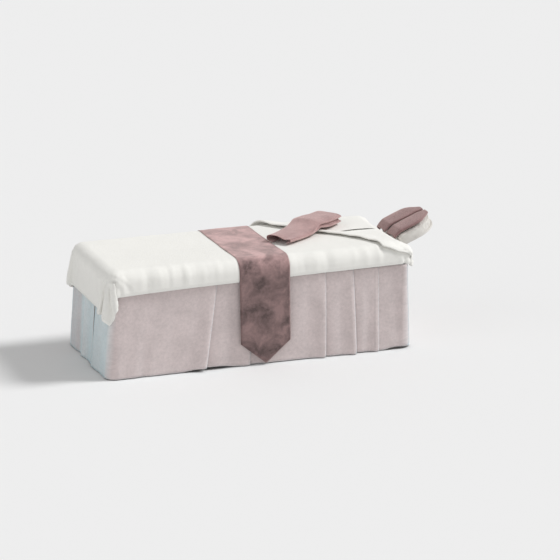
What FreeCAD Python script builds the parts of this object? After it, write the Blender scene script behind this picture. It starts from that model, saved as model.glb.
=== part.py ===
"""Facial treatment bed, dressed, as a parametric FreeCAD document. Millimetres.

A hardwood frame stands on four legs and carries a plywood deck, a foam mattress with a face hole, and
the linen: a skirt, a duvet, a turned-back top sheet, a runner and a folded towel. A padded headrest
tilts on a yoke whose two rods slide in steel sockets under the head end of the deck.

Row frame: +X to the head end, +Y to the far side, +Z up. The origin is on the floor, under the middle
of the whole bed with its headrest. Lengths below are given from the middle of the bed's own frame, and
every sub-part is moved by centre_x, the place of that middle in the row frame.
"""
import FreeCAD
import Part
import math
import os
import re
import Sketcher

DIMENSIONS = {
    # the whole bed
    "centre_x": -151.2,
    "mattress_length": 1880.0,
    "mattress_width": 780.0,
    "mattress_height": 95.0,
    "deck_top": 540.0,
    "deck_thickness": 12.0,
    "deck_overhang": 2.0,
    "deck_hole_room": 1.0,
    # timber frame
    "frame_length": 1850.0,
    "frame_width": 750.0,
    "apron_thickness": 25.0,
    "apron_height": 90.0,
    "leg_size": 60.0,
    "leg_chamfer": 4.0,
    "glide_height": 12.0,
    "glide_radius": 23.0,
    "glide_stem_radius": 5.0,
    "glide_stem_length": 25.0,
    "stretcher_height": 50.0,
    "stretcher_thickness": 30.0,
    "stretcher_bottom": 140.0,
    "joist_height": 60.0,
    "joist_thickness": 22.0,
    "joist_pitch": 450.0,
    # leg bolts
    "bolt_radius": 4.0,
    "bolt_hole_radius": 4.2,
    "bolt_head_radius": 10.0,
    "bolt_head_height": 4.5,
    "nut_radius": 7.5,
    "nut_height": 6.5,
    "washer_radius": 11.0,
    "washer_thickness": 2.0,
    "bolt_low": 455.0,
    "bolt_high": 490.0,
    "end_bolt_level": 472.0,
    # face hole
    "hole_x": 783.0,
    "hole_length": 220.0,
    "hole_width": 120.0,
    "liner_thickness": 3.0,
    "cover_thickness": 2.0,
    "mattress_corner": 40.0,
    "mattress_edge": 28.0,
    # linen
    "fit_gap": 0.3,
    "tape_thickness": 3.0,
    "tape_height": 12.0,
    "tape_bottom": 514.0,
    "skirt_top": 538.0,
    "skirt_bottom": 3.0,
    "skirt_thickness": 8.0,
    "side_flare": 22.0,
    "end_flare": 39.0,
    "skirt_gap": 0.2,
    "skirt_split_y": -90.0,
    "skirt_split_width": 8.0,
    "duvet_top": 650.0,
    "duvet_side": 14.0,
    "duvet_side_room": 5.0,
    "duvet_foot_room": 10.0,
    "duvet_head_thickness": 12.0,
    "duvet_side_hem": 537.0,
    "duvet_head_hem": 560.0,
    "duvet_foot_hem": 375.0,
    "duvet_edge_radius": 30.0,
    "duvet_corner_radius": 40.0,
    "sheet_thickness": 8.0,
    "sheet_drop_thickness": 5.0,
    "sheet_far_x": 203.0,
    "sheet_near_x": 800.0,
    "sheet_head_hem": 565.0,
    "sheet_far_hem": 545.0,
    "slit_length": 215.0,
    "slit_width": 26.0,
    "runner_left": -146.0,
    "runner_right": 175.0,
    "runner_thickness": 4.0,
    "runner_shoulder": 145.0,
    "runner_tip": 12.0,
    "towel_length": 600.0,
    "towel_width": 230.0,
    "towel_height": 40.0,
    "towel_x": 470.0,
    "towel_y": 60.0,
    "towel_turn": 38.0,
    # headrest sockets and rods
    "rod_y": 108.0,
    "rod_level": 500.0,
    "rod_radius": 8.0,
    "rod_clearance": 0.05,
    "rod_start": 772.0,
    "rod_end": 1005.0,
    "socket_radius": 11.0,
    "socket_start": 770.0,
    "socket_end": 928.0,
    "block_length": 30.0,
    "block_width": 50.0,
    "block_bottom": 470.0,
    "stud_x": 850.0,
    "stud_radius": 4.0,
    "stud_hole_radius": 4.08,
    "stud_top": 491.8,
    "stud_bottom": 466.0,
    "boss_radius": 9.0,
    "boss_bottom": 477.0,
    "knob_radius": 20.0,
    "knob_height": 16.0,
    "knob_lobes": 5,
    "knob_scallop": 7.0,
    # yoke and tilt joint
    "yoke_start": 985.0,
    "yoke_length": 25.0,
    "yoke_width": 270.0,
    "yoke_bottom": 485.0,
    "yoke_height": 30.0,
    "pivot_x": 1015.0,
    "pivot_z": 556.0,
    "pin_radius": 5.0,
    "pin_hole_radius": 5.05,
    "pin_near": 88.0,
    "pin_far": 78.0,
    "ear_inner_y": 60.0,
    "ear_thickness": 6.0,
    "ear_radius": 14.0,
    "lug_inner_y": 52.0,
    "lug_thickness": 5.0,
    "lug_radius": 12.0,
    "flange_thickness": 4.0,
    "flange_width": 22.0,
    "flange_end": 48.0,
    "disc_gap": 0.2,
    "lever_hub_radius": 12.0,
    "lever_hub_length": 18.0,
    "lever_arm_length": 66.0,
    "lever_arm_radius": 5.0,
    "lever_ball_radius": 9.0,
    "lever_drop_angle": 30.0,
    # headrest, in its own frame: along its pad and square to it from the pivot
    "rest_tilt": 22.0,
    "board_level": 18.0,
    "board_thickness": 12.0,
    "board_start": 12.0,
    "board_end": 288.0,
    "board_width": 316.0,
    "pad_tape_thickness": 2.0,
    "cushion_start": 8.0,
    "cushion_end": 300.0,
    "cushion_width": 340.0,
    "cushion_height": 58.0,
    "cushion_edge": 12.0,
    "rest_towel_start": 6.0,
    "rest_towel_shoulder": 180.0,
    "rest_towel_end": 265.0,
    "rest_towel_width": 330.0,
    "rest_towel_end_width": 140.0,
    "rest_towel_height": 22.0,
    "screw_radius": 2.0,
    "screw_head_radius": 4.0,
    "screw_head_height": 2.5,
    "screw_length": 12.0,
}
PLACES = {
    # sizes that follow from the driving ones
    "mattress_top": "deck_top + mattress_height",
    "deck_bottom": "deck_top - deck_thickness",
    "apron_bottom": "deck_bottom - apron_height",
    "leg_x": "frame_length/2 - apron_thickness - leg_size/2",
    "leg_y": "frame_width/2 - apron_thickness - leg_size/2",
    "inside_length": "frame_length - 2*apron_thickness",
    "inside_width": "frame_width - 2*apron_thickness",
    "skirt_side_y": "frame_width/2 + tape_thickness + skirt_gap",
    "skirt_end_x": "frame_length/2 + tape_thickness + skirt_gap",
    "duvet_inner_y": "mattress_width/2 + duvet_side_room + fit_gap",
    "duvet_outer_y": "duvet_inner_y + duvet_side",
    "duvet_inner_head": "mattress_length/2 + fit_gap",
    "duvet_outer_head": "duvet_inner_head + duvet_head_thickness",
    "duvet_inner_foot": "mattress_length/2 + duvet_foot_room + fit_gap",
    "duvet_outer_foot": "duvet_inner_foot + duvet_side",
    "sheet_bottom": "duvet_top + fit_gap",
    "sheet_top": "sheet_bottom + sheet_thickness",
    "cushion_level": "board_level + board_thickness + pad_tape_thickness",
}
NODES = []

doc = FreeCAD.newDocument("TreatmentBed")
sheet = doc.addObject("Spreadsheet::Sheet", "Sizes")
slate = doc.addObject("App::FeaturePython", "Slate")
slate.addProperty("App::PropertyFloat", "Answer")


def fill_sheet():
    """Puts every driving dimension in the sheet."""
    for row, (alias, value) in enumerate(DIMENSIONS.items(), 1):
        sheet.set(f"A{row}", alias)
        sheet.set(f"B{row}", str(value))
        sheet.setAlias(f"B{row}", alias)
    doc.recompute()


def formula(text):
    """An expression on the sheet: a driving size becomes its cell, and a derived size its formula."""
    def cell(found):
        word = found.group(0)
        return f"({formula(PLACES[word])})" if word in PLACES else f"Sizes.{word}"
    return re.sub(r"[a-z]+(_[a-z]+)+", cell, str(text))


def number(text):
    """What an expression comes to now, where a sketch needs a first place for its geometry."""
    slate.setExpression("Answer", formula(text))
    slate.recompute()
    return slate.Answer


def bind(thing, **expressions):
    for key, text in expressions.items():
        thing.setExpression(key.replace("__", "."), formula(text))
    return thing


def put(thing, x="0", y="0", z="0", axis=None, angle=None):
    """Places a shape by expressions, turned about one axis first."""
    if axis:
        thing.Placement = FreeCAD.Placement(FreeCAD.Vector(),
                                            FreeCAD.Rotation(FreeCAD.Vector(*axis), number(angle)))
        bind(thing, Placement__Rotation__Angle=angle)
    return bind(thing, Placement__Base__x=x, Placement__Base__y=y, Placement__Base__z=z)


# ---- primitives and booleans ----

def box(name, size, x="0", y="0", z="0"):
    """A block centred on x and y, standing on z."""
    made = doc.addObject("Part::Box", name)
    bind(made, Length=size[0], Width=size[1], Height=size[2])
    return put(made, f"({x}) - ({size[0]})/2", f"({y}) - ({size[1]})/2", z)


def cylinder(name, radius, length, x="0", y="0", z="0", along="z"):
    """A round bar that starts at the point and runs along an axis."""
    made = doc.addObject("Part::Cylinder", name)
    bind(made, Radius=radius, Height=length)
    turn = {"x": ((0, 1, 0), "90"), "y": ((1, 0, 0), "-90"), "z": (None, None)}[along]
    return put(made, x, y, z, *turn)


def cut(name, base, *tools):
    made = doc.addObject("Part::Cut", name)
    made.Base = base
    made.Tool = tools[0] if len(tools) == 1 else fuse(name + "_tools", *tools)
    return made


def fuse(name, *shapes):
    made = doc.addObject("Part::MultiFuse", name)
    made.Shapes = list(shapes)
    return made


def common(name, base, tool):
    made = doc.addObject("Part::Common", name)
    made.Base = base
    made.Tool = tool
    return made


def group(name, shapes):
    """Separate solids kept together as one sub-part."""
    made = doc.addObject("Part::Compound", name)
    made.Links = list(shapes)
    return made


def rounded(name, base, radius, wanted):
    """Fillets the edges of a shape that wanted(edge) picks."""
    doc.recompute()
    made = doc.addObject("Part::Fillet", name)
    made.Base = base
    picked = [i for i, edge in enumerate(base.Shape.Edges, 1) if wanted(edge)]
    made.Edges = [(i, number(radius), number(radius)) for i in picked]
    return made


# ---- sketches and bodies ----

def plane_of(body, role):
    return next(f for f in body.Origin.OriginFeatures if f.Role == role + "_Plane")


def sketch_in(body, name, role, level="0"):
    made = body.newObject("Sketcher::SketchObject", name)
    made.AttachmentSupport = [(plane_of(body, role), "")]
    made.MapMode = "FlatFace"
    if level != "0":
        bind(made, AttachmentOffset__Base__z=level)
    return made


def at(sketch, geometry, point, x, y):
    """Holds a sketch point at a place given by two expressions."""
    for kind, text in (("DistanceX", x), ("DistanceY", y)):
        index = sketch.addConstraint(Sketcher.Constraint(kind, -1, 1, geometry, point, number(text)))
        sketch.setExpression(f"Constraints[{index}]", formula(text))


def outline(sketch, points):
    """A closed outline of straight lines through points."""
    first, count = sketch.GeometryCount, len(points)
    corners = [FreeCAD.Vector(number(x), number(y), 0) for x, y in points]
    for i in range(count):
        sketch.addGeometry(Part.LineSegment(corners[i], corners[(i + 1) % count]), False)
    for i, (x, y) in enumerate(points):
        sketch.addConstraint(Sketcher.Constraint("Coincident", first + i, 2, first + (i + 1) % count, 1))
        at(sketch, first + i, 1, x, y)


def circle(sketch, x, y, radius):
    centre = FreeCAD.Vector(number(x), number(y), 0)
    made = sketch.addGeometry(Part.Circle(centre, FreeCAD.Vector(0, 0, 1), number(radius)), False)
    index = sketch.addConstraint(Sketcher.Constraint("Radius", made, number(radius)))
    sketch.setExpression(f"Constraints[{index}]", formula(radius))
    at(sketch, made, 3, x, y)


def rectangle(sketch, width, height, x="0", y="0"):
    left, right = f"({x}) - ({width})/2", f"({x}) + ({width})/2"
    low, high = f"({y}) - ({height})/2", f"({y}) + ({height})/2"
    outline(sketch, [(left, low), (right, low), (right, high), (left, high)])


def arc(sketch, x, y, radius, start, end):
    """An arc about a held centre, between two angles in degrees."""
    whole = Part.Circle(FreeCAD.Vector(number(x), number(y), 0), FreeCAD.Vector(0, 0, 1), number(radius))
    made = sketch.addGeometry(Part.ArcOfCircle(whole, math.radians(start), math.radians(end)), False)
    index = sketch.addConstraint(Sketcher.Constraint("Radius", made, number(radius)))
    sketch.setExpression(f"Constraints[{index}]", formula(radius))
    at(sketch, made, 3, x, y)
    return made


def line(sketch, a, b):
    ends = [FreeCAD.Vector(number(x), number(y), 0) for x, y in (a, b)]
    return sketch.addGeometry(Part.LineSegment(*ends), False)


def oval(sketch, length, width, x="0", y="0"):
    """A slot shape: two half circles and the straight lines between them."""
    radius, reach = f"({width})/2", f"(({length}) - ({width}))/2"
    low, high = f"({y}) - {radius}", f"({y}) + {radius}"
    right = arc(sketch, f"({x}) + {reach}", y, radius, -90, 90)
    top = line(sketch, (f"({x}) + {reach}", high), (f"({x}) - {reach}", high))
    left = arc(sketch, f"({x}) - {reach}", y, radius, 90, 270)
    bottom = line(sketch, (f"({x}) - {reach}", low), (f"({x}) + {reach}", low))
    for a, b in ((right, top), (top, left), (left, bottom), (bottom, right)):
        sketch.addConstraint(Sketcher.Constraint("Tangent", a, 2, b, 1))


def headrest_shape(sketch, start, end, width):
    """A straight lower edge, straight sides and a half-round far end."""
    radius, middle = f"({width})/2", f"({end}) - ({width})/2"
    outside = [(middle, radius), (start, radius), (start, f"-{radius}"), (middle, f"-{radius}")]
    bow = arc(sketch, middle, "0", radius, -90, 90)
    lines = [line(sketch, a, b) for a, b in zip(outside, outside[1:])]
    sketch.addConstraint(Sketcher.Constraint("Tangent", bow, 2, lines[0], 1))
    sketch.addConstraint(Sketcher.Constraint("Coincident", lines[0], 2, lines[1], 1))
    sketch.addConstraint(Sketcher.Constraint("Coincident", lines[1], 2, lines[2], 1))
    sketch.addConstraint(Sketcher.Constraint("Tangent", lines[2], 2, bow, 1))
    at(sketch, lines[1], 1, start, radius)


def lens(sketch, length, width, x, y="0"):
    """A pointed slit: two equal arcs that meet at its ends."""
    half, rise = number(length) / 2, number(width) / 2
    radius = (half * half + rise * rise) / (2 * rise)
    swing = math.degrees(math.asin(half / radius))
    bend = f"((({length})/2)^2 + (({width})/2)^2)/({width})"
    middle_x, middle_y = number(x), number(y)
    made = []
    for side, start in ((1, 90 - swing), (-1, 270 - swing)):
        centre = FreeCAD.Vector(middle_x, middle_y + side * (rise - radius), 0)
        whole = Part.Circle(centre, FreeCAD.Vector(0, 0, 1), radius)
        bow = Part.ArcOfCircle(whole, math.radians(start), math.radians(start + 2 * swing))
        made.append(sketch.addGeometry(bow, False))
        index = sketch.addConstraint(Sketcher.Constraint("Radius", made[-1], radius))
        sketch.setExpression(f"Constraints[{index}]", formula(bend))
    sketch.addConstraint(Sketcher.Constraint("Coincident", made[0], 2, made[1], 1))
    sketch.addConstraint(Sketcher.Constraint("Coincident", made[1], 2, made[0], 1))
    at(sketch, made[0], 1, f"({x}) + ({length})/2", y)
    at(sketch, made[0], 2, f"({x}) - ({length})/2", y)


def padded_body(name, role, thickness, draw, level="0", both_sides=False):
    """A body made by one Pad of the sketch that draw(sketch) fills."""
    body = doc.addObject("PartDesign::Body", name)
    profile = sketch_in(body, name + "_sketch", role, level)
    draw(profile)
    pad = body.newObject("PartDesign::Pad", name + "_pad")
    pad.Profile = profile
    pad.Midplane = both_sides
    bind(pad, Length=thickness)
    return body


def pocket(body, name, role, draw, level="0"):
    """A through pocket in both directions from a sketch, or a blind one of the given depth upwards."""
    profile = sketch_in(body, name + "_sketch", role)
    draw(profile)
    made = body.newObject("PartDesign::Pocket", name)
    made.Profile = profile
    if level == "0":
        made.Type = "ThroughAll"
        made.Midplane = True
    else:
        made.Reversed = True
        bind(made, Length=level)
    return made


def node(thing, label, x="0", y="0", z="0", axis=None, angle=None):
    """Names a finished sub-part and puts it in the row frame."""
    thing.Label = label
    put(thing, f"centre_x + ({x})", y, z, axis, angle)
    NODES.append(thing)
    return thing


def block(label, size, x="0", y="0", z="0"):
    """A plain rectangular sub-part, centred on x and y and standing on z."""
    made = doc.addObject("Part::Box", label)
    bind(made, Length=size[0], Width=size[1], Height=size[2])
    return node(made, label, f"({x}) - ({size[0]})/2", f"({y}) - ({size[1]})/2", z)


SIDES = (("near", "-1"), ("far", "1"))
ENDS = (("foot", "-1"), ("head", "1"))


# ---- timber frame ----

def legs_and_glides():
    """Four square hardwood legs with chamfered edges, each on a rubber glide with a stem."""
    glides = []
    for side, s in SIDES:
        for end, e in ENDS:
            name = f"leg_{side}_{end}"
            body = padded_body(name, "XY", "deck_bottom - glide_height",
                               lambda sketch: rectangle(sketch, "leg_size", "leg_size"), "glide_height")
            pocket(body, name + "_stem_hole", "XY",
                   lambda sketch: circle(sketch, "0", "0", "glide_stem_radius + rod_clearance"),
                   "glide_height + glide_stem_length + 1")
            pocket(body, name + "_side_bolts", "XZ", lambda sketch: [
                circle(sketch, "0", level, "bolt_hole_radius") for level in ("bolt_low", "bolt_high")])
            pocket(body, name + "_end_bolt", "YZ",
                   lambda sketch: circle(sketch, "0", "end_bolt_level", "bolt_hole_radius"))
            doc.recompute()
            upright = [f"Edge{i}" for i, edge in enumerate(body.Tip.Shape.Edges, 1)
                       if len(edge.Vertexes) == 2
                       and abs(edge.Length - number("deck_bottom - glide_height")) < 0.01]
            drilled = body.Tip
            chamfer = body.newObject("PartDesign::Chamfer", name + "_chamfer")
            chamfer.Base = (drilled, upright)
            bind(chamfer, Size="leg_chamfer")
            node(body, name, f"{e}*leg_x", f"{s}*leg_y")
            glides.append(glide(f"glide_{side}_{end}", f"{e}*leg_x", f"{s}*leg_y"))
    node(group("glides", glides), "leg_glides")


def glide(name, x, y):
    """A turned rubber foot: a tapered disc and the stem that plugs into the leg."""
    body = doc.addObject("PartDesign::Body", name)
    profile = sketch_in(body, name + "_sketch", "XZ")
    outline(profile, [("0", "0"), ("glide_radius - 3", "0"), ("glide_radius", "3"),
                      ("glide_radius", "glide_height"),
                      ("glide_stem_radius", "glide_height"),
                      ("glide_stem_radius", "glide_height + glide_stem_length"),
                      ("0", "glide_height + glide_stem_length")])
    turned = body.newObject("PartDesign::Revolution", name + "_turned")
    turned.Profile = profile
    turned.ReferenceAxis = (profile, ["V_Axis"])
    turned.Angle = 360
    return put(body, x, y)


def aprons():
    """The four rails of the frame. The head one has the two bores that the headrest sockets run through."""
    for side, s in SIDES:
        def side_face(sketch):
            rectangle(sketch, "frame_length", "apron_height", "0", "apron_bottom + apron_height/2")
            for end, e in ENDS:
                for level in ("bolt_low", "bolt_high"):
                    circle(sketch, f"{e}*leg_x", level, "bolt_hole_radius")
        body = padded_body(f"apron_{side}", "XZ", "apron_thickness", side_face, both_sides=True)
        node(body, f"apron_{side}", "0", f"{s}*(frame_width - apron_thickness)/2")
    for end, e in ENDS:
        def end_face(sketch, end=end):
            rectangle(sketch, "inside_width", "apron_height", "0", "apron_bottom + apron_height/2")
            for side, s in SIDES:
                circle(sketch, f"{s}*leg_y", "end_bolt_level", "bolt_hole_radius")
                if end == "head":
                    circle(sketch, f"{s}*rod_y", "rod_level", "socket_radius + rod_clearance")
        body = padded_body(f"apron_{end}", "YZ", "apron_thickness", end_face, both_sides=True)
        node(body, f"apron_{end}", f"{e}*(frame_length - apron_thickness)/2")


def bolt(name, along, x, y, z, sign):
    """A coach bolt whose head lies outside the apron, at the given point, with its shank towards the leg."""
    shank = cylinder(name + "_shank", "bolt_radius",
                     "apron_thickness + leg_size + nut_height + washer_thickness", along=along)
    head = cylinder(name + "_head", "bolt_head_radius", "bolt_head_height", along=along,
                    **{along: "-bolt_head_height"})
    whole = fuse(name, shank, head)
    return flipped(whole, along, x, y, z, sign)


def nut(name, along, x, y, z, sign):
    """A nut on its washer, on the leg's inner face."""
    start = "apron_thickness + leg_size"
    washer = cylinder(name + "_washer", "washer_radius", "washer_thickness", along=along, **{along: start})
    hexagon = doc.addObject("Part::Prism", name + "_hexagon")
    bind(hexagon, Circumradius="nut_radius", Height="nut_height")
    turn = {"x": ((0, 1, 0), "90"), "y": ((1, 0, 0), "-90")}[along]
    put(hexagon, axis=turn[0], angle=turn[1], **{along: start + " + washer_thickness"})
    bore = cylinder(name + "_bore", "bolt_radius + rod_clearance", "3*leg_size", along=along)
    return flipped(cut(name, fuse(name + "_blank", washer, hexagon), bore), along, x, y, z, sign)


def flipped(thing, along, x, y, z, sign):
    """Turns a fastener drawn along +x or +y to point the other way when sign is negative."""
    if sign < 0:
        return put(thing, x, y, z, (0, 0, 1), "180")
    return put(thing, x, y, z)


def leg_fasteners():
    """Three coach bolts and nuts at each leg: two through the side apron, one through the end apron."""
    bolts, nuts = [], []
    for side, s in SIDES:
        for end, e in ENDS:
            spots = [("y", f"{e}*leg_x", f"{s}*frame_width/2", level, -int(s)) for level in ("bolt_low",
                                                                                             "bolt_high")]
            spots.append(("x", f"{e}*frame_length/2", f"{s}*leg_y", "end_bolt_level", -int(e)))
            for i, (along, x, y, z, sign) in enumerate(spots):
                tag = f"{side}_{end}_{'abc'[i]}"
                bolts.append(bolt("bolt_" + tag, along, x, y, z, sign))
                nuts.append(nut("nut_" + tag, along, x, y, z, sign))
    node(group("bolts", bolts), "leg_bolts")
    node(group("nuts", nuts), "leg_nuts")


def stretchers_and_joists():
    """The low H-shaped brace between the legs, and the joists that carry the deck."""
    cross = ("stretcher_thickness", "inside_width - 2*leg_size", "stretcher_height")
    for end, e in ENDS:
        block(f"stretcher_{end}", cross, f"{e}*leg_x", "0", "stretcher_bottom")
    block("stretcher_middle", ("2*leg_x - stretcher_thickness", "stretcher_thickness", "stretcher_height"),
          z="stretcher_bottom")
    joist = ("joist_thickness", "inside_width", "joist_height")
    for name, step in (("foot", "-1"), ("middle", "0"), ("head", "1")):
        block(f"joist_{name}", joist, f"{step}*joist_pitch", "0", "deck_bottom - joist_height")


def deck():
    """Plywood deck in four boards, which leave a square-cornered hole for the face hole's sleeve."""
    end = "(frame_length/2 + deck_overhang)"
    width = "(frame_width + 2*deck_overhang)"
    low = "(hole_x - hole_length/2 - deck_hole_room)"
    high = "(hole_x + hole_length/2 + deck_hole_room)"
    side = "(hole_width/2 + deck_hole_room)"
    block("deck_board", (f"{low} + {end}", width, "deck_thickness"), f"({low} - {end})/2", z="deck_bottom")
    block("deck_end_board", (f"{end} - {high}", width, "deck_thickness"), f"({end} + {high})/2",
          z="deck_bottom")
    strip = (f"{high} - {low}", f"{width}/2 - {side}", "deck_thickness")
    strips = [box(f"strip_{name}", strip, "hole_x", f"{s}*({width}/2 + {side})/2", "deck_bottom")
              for name, s in SIDES]
    node(group("strips", strips), "deck_side_strips")


# ---- mattress ----

def hole_tool(name, narrower="0"):
    """The face hole's prism, from under the deck to above the bed."""
    return padded_body(name, "XY", "mattress_height + 8*deck_thickness",
                       lambda sketch: oval(sketch, f"hole_length - {narrower}", f"hole_width - {narrower}",
                                           "hole_x"),
                       "deck_bottom - deck_thickness")


def upright_edge(edge):
    ends = [v.Point for v in edge.Vertexes]
    return len(ends) == 2 and math.hypot(ends[0].x - ends[1].x, ends[0].y - ends[1].y) < 0.01


def slab(name, inset):
    """The mattress's outer form, or the same form set in on every side: rounded corners and top edges."""
    size = [f"{side} - 2*{inset}" for side in ("mattress_length", "mattress_width", "mattress_height")]
    blank = box(name + "_block", size, z=f"deck_top + {inset}")
    corners = rounded(name + "_corners", blank, f"mattress_corner - {inset}", upright_edge)
    top = number(f"mattress_top - {inset}")
    return rounded(name, corners, f"mattress_edge - {inset}",
                   lambda edge: all(abs(v.Z - top) < 0.01 for v in edge.Vertexes))


def mattress():
    """Foam core, its vinyl cover as a closed shell, and the sleeve that lines the face hole."""
    outer = slab("cover_outside", "0")
    core = slab("core_outside", "cover_thickness")
    hollow = slab("cover_inside", "cover_thickness")
    node(cut("core", core, hole_tool("core_hole")), "mattress_core")
    node(cut("cover", outer, hollow, hole_tool("cover_hole")), "mattress_cover")

    def sleeve(sketch):
        oval(sketch, "hole_length", "hole_width", "hole_x")
        oval(sketch, "hole_length - 2*liner_thickness", "hole_width - 2*liner_thickness", "hole_x")
    node(padded_body("liner", "XY", "mattress_height + deck_thickness", sleeve, "deck_bottom"),
         "face_hole_liner")


# ---- linen ----

def skirt_tape():
    """Hook-and-loop strips round the aprons that hold the skirt."""
    long_strip = ("inside_length", "tape_thickness", "tape_height")
    short_strip = ("tape_thickness", "inside_width", "tape_height")
    strips = [box(f"tape_{side}", long_strip, "0", f"{s}*(frame_width + tape_thickness)/2", "tape_bottom")
              for side, s in SIDES]
    strips += [box(f"tape_{end}", short_strip, f"{e}*(frame_length + tape_thickness)/2", "0", "tape_bottom")
               for end, e in ENDS]
    node(group("tapes", strips), "skirt_tape")


def skirt_profile(inner, flare, sign):
    """The slanting section of a hanging panel: upright at the top, moved out by flare at the floor."""
    def draw(sketch):
        outline(sketch, [(f"{sign}*({inner} + {flare})", "skirt_bottom"),
                         (f"{sign}*({inner} + {flare} + skirt_thickness)", "skirt_bottom"),
                         (f"{sign}*({inner} + skirt_thickness)", "skirt_top"),
                         (f"{sign}*{inner}", "skirt_top")])
    return draw


def skirt():
    """Five hanging panels: both long sides, the head end, and two at the foot end beside a slit."""
    for side, s in SIDES:
        body = padded_body(f"skirt_{side}_panel", "YZ", "frame_length",
                           skirt_profile("skirt_side_y", "side_flare", s), both_sides=True)
        node(body, f"skirt_{side}")
    width = "2*skirt_side_y - 2*skirt_gap"
    head = padded_body("head_panel", "XZ", width, skirt_profile("skirt_end_x", "end_flare", "1"),
                       both_sides=True)
    notch = ("3*end_flare", "3*rod_radius", "3*rod_level - skirt_bottom")
    notches = [box(f"rod_notch_{side}", notch, "skirt_end_x", f"{s}*rod_y", "rod_level - 1.5*rod_radius")
               for side, s in SIDES]
    node(cut("skirt_head_cut", head, *notches), "skirt_head")
    edge = "(skirt_side_y - skirt_gap)"
    low, high = "(skirt_split_y - skirt_split_width/2)", "(skirt_split_y + skirt_split_width/2)"
    for side, span, middle in (("near", f"{low} + {edge}", f"({low} - {edge})/2"),
                               ("far", f"{edge} - {high}", f"({edge} + {high})/2")):
        body = padded_body(f"foot_{side}_panel", "XZ", span,
                           skirt_profile("skirt_end_x", "end_flare", "-1"), both_sides=True)
        node(body, f"skirt_foot_{side}", "0", middle)


def slit_tool(name):
    return padded_body(name, "XY", "3*sheet_thickness + 2*duvet_side",
                       lambda sketch: lens(sketch, "slit_length", "slit_width", "hole_x"),
                       "mattress_top - sheet_thickness")


def duvet():
    """A cover over the mattress: a deep drop at the foot end, a shallow one on the other three sides."""
    long_way = "(duvet_outer_head + duvet_outer_foot)"
    blank = box("duvet_block", (long_way, "2*duvet_outer_y", "duvet_top - duvet_foot_hem"),
                "(duvet_outer_head - duvet_outer_foot)/2", "0", "duvet_foot_hem")
    corners = rounded("duvet_corners", blank, "duvet_corner_radius", upright_edge)
    top = rounded("duvet_edges", corners, "duvet_edge_radius",
                  lambda edge: all(abs(v.Z - number("duvet_top")) < 0.01 for v in edge.Vertexes))
    inside = box("duvet_inside", ("duvet_inner_head + duvet_inner_foot", "2*duvet_inner_y",
                                  "mattress_top + fit_gap"),
                 "(duvet_inner_head - duvet_inner_foot)/2")
    below = box("duvet_below_sides", ("duvet_inner_foot + 2*duvet_outer_head", "4*duvet_outer_y",
                                      "duvet_side_hem"),
                "(2*duvet_outer_head - duvet_inner_foot)/2")
    head = box("duvet_below_head", ("2*duvet_side", "4*duvet_outer_y", "duvet_head_hem"),
               "duvet_inner_head + duvet_side")
    node(cut("duvet_cut", top, inside, below, head, slit_tool("duvet_slit")), "duvet")


def top_sheet():
    """A doubled sheet across the head end, turned back along a slant from the far side to the near corner."""
    outer_y = "(duvet_outer_y + fit_gap)"
    head_x = "(duvet_outer_head + fit_gap)"
    flat = padded_body("sheet_flat", "XY", "sheet_thickness", lambda sketch: outline(sketch, [
        ("sheet_far_x", outer_y), ("500", "48"), ("717", "-199"), ("sheet_near_x", f"-{outer_y}"),
        (head_x, f"-{outer_y}"), (head_x, outer_y)]), "sheet_bottom")
    far = box("sheet_far_drop", (f"{head_x} - sheet_far_x", "sheet_drop_thickness",
                                 "sheet_top - sheet_far_hem"),
              f"({head_x} + sheet_far_x)/2", f"{outer_y} + sheet_drop_thickness/2", "sheet_far_hem")
    head = box("sheet_head_drop", ("sheet_drop_thickness", f"2*({outer_y} + sheet_drop_thickness)",
                                   "sheet_top - sheet_head_hem"),
               f"{head_x} + sheet_drop_thickness/2", "0", "sheet_head_hem")
    corner = padded_body("sheet_corner_drop", "XZ", "sheet_drop_thickness", lambda sketch: outline(sketch, [
        ("sheet_near_x", "sheet_top"), (head_x, "sheet_head_hem"), (head_x, "sheet_top")]))
    put(corner, "0", f"-{outer_y}")
    whole = fuse("sheet_whole", flat, far, head, corner)
    node(cut("sheet_cut", whole, slit_tool("sheet_slit")), "top_sheet")


def runner():
    """A velvet band across the bed, with a pointed end hanging on each side."""
    inner_y = "(duvet_outer_y + fit_gap)"
    bottom = "(duvet_top + fit_gap)"
    band = "(runner_right - runner_left)"
    outside = box("runner_outside", (band, f"2*{inner_y} + 2*runner_thickness",
                                     f"{bottom} + runner_thickness"),
                  "(runner_left + runner_right)/2")
    inside = box("runner_inside", (f"2*{band}", f"2*{inner_y}", bottom), "(runner_left + runner_right)/2")
    shape = padded_body("runner_shape", "XZ", "2*frame_width", lambda sketch: outline(sketch, [
        ("runner_left", "runner_shoulder"), ("(runner_left + runner_right)/2", "runner_tip"),
        ("runner_right", "runner_shoulder"), ("runner_right", "duvet_top*1.2"),
        ("runner_left", "duvet_top*1.2")]),
        both_sides=True)
    node(common("runner_common", cut("runner_band", outside, inside), shape), "bed_runner")


def towel():
    """A velvet towel folded in layers, lying slantwise on the bed."""
    pile = box("towel_block", ("towel_length", "towel_width", "towel_height"))
    soft = rounded("towel_soft", pile, "towel_height/4", lambda edge: True)
    node(soft, "folded_towel", "towel_x", "towel_y", "sheet_top + fit_gap", (0, 0, 1), "towel_turn")


# ---- headrest sockets, rods and yoke ----

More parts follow.
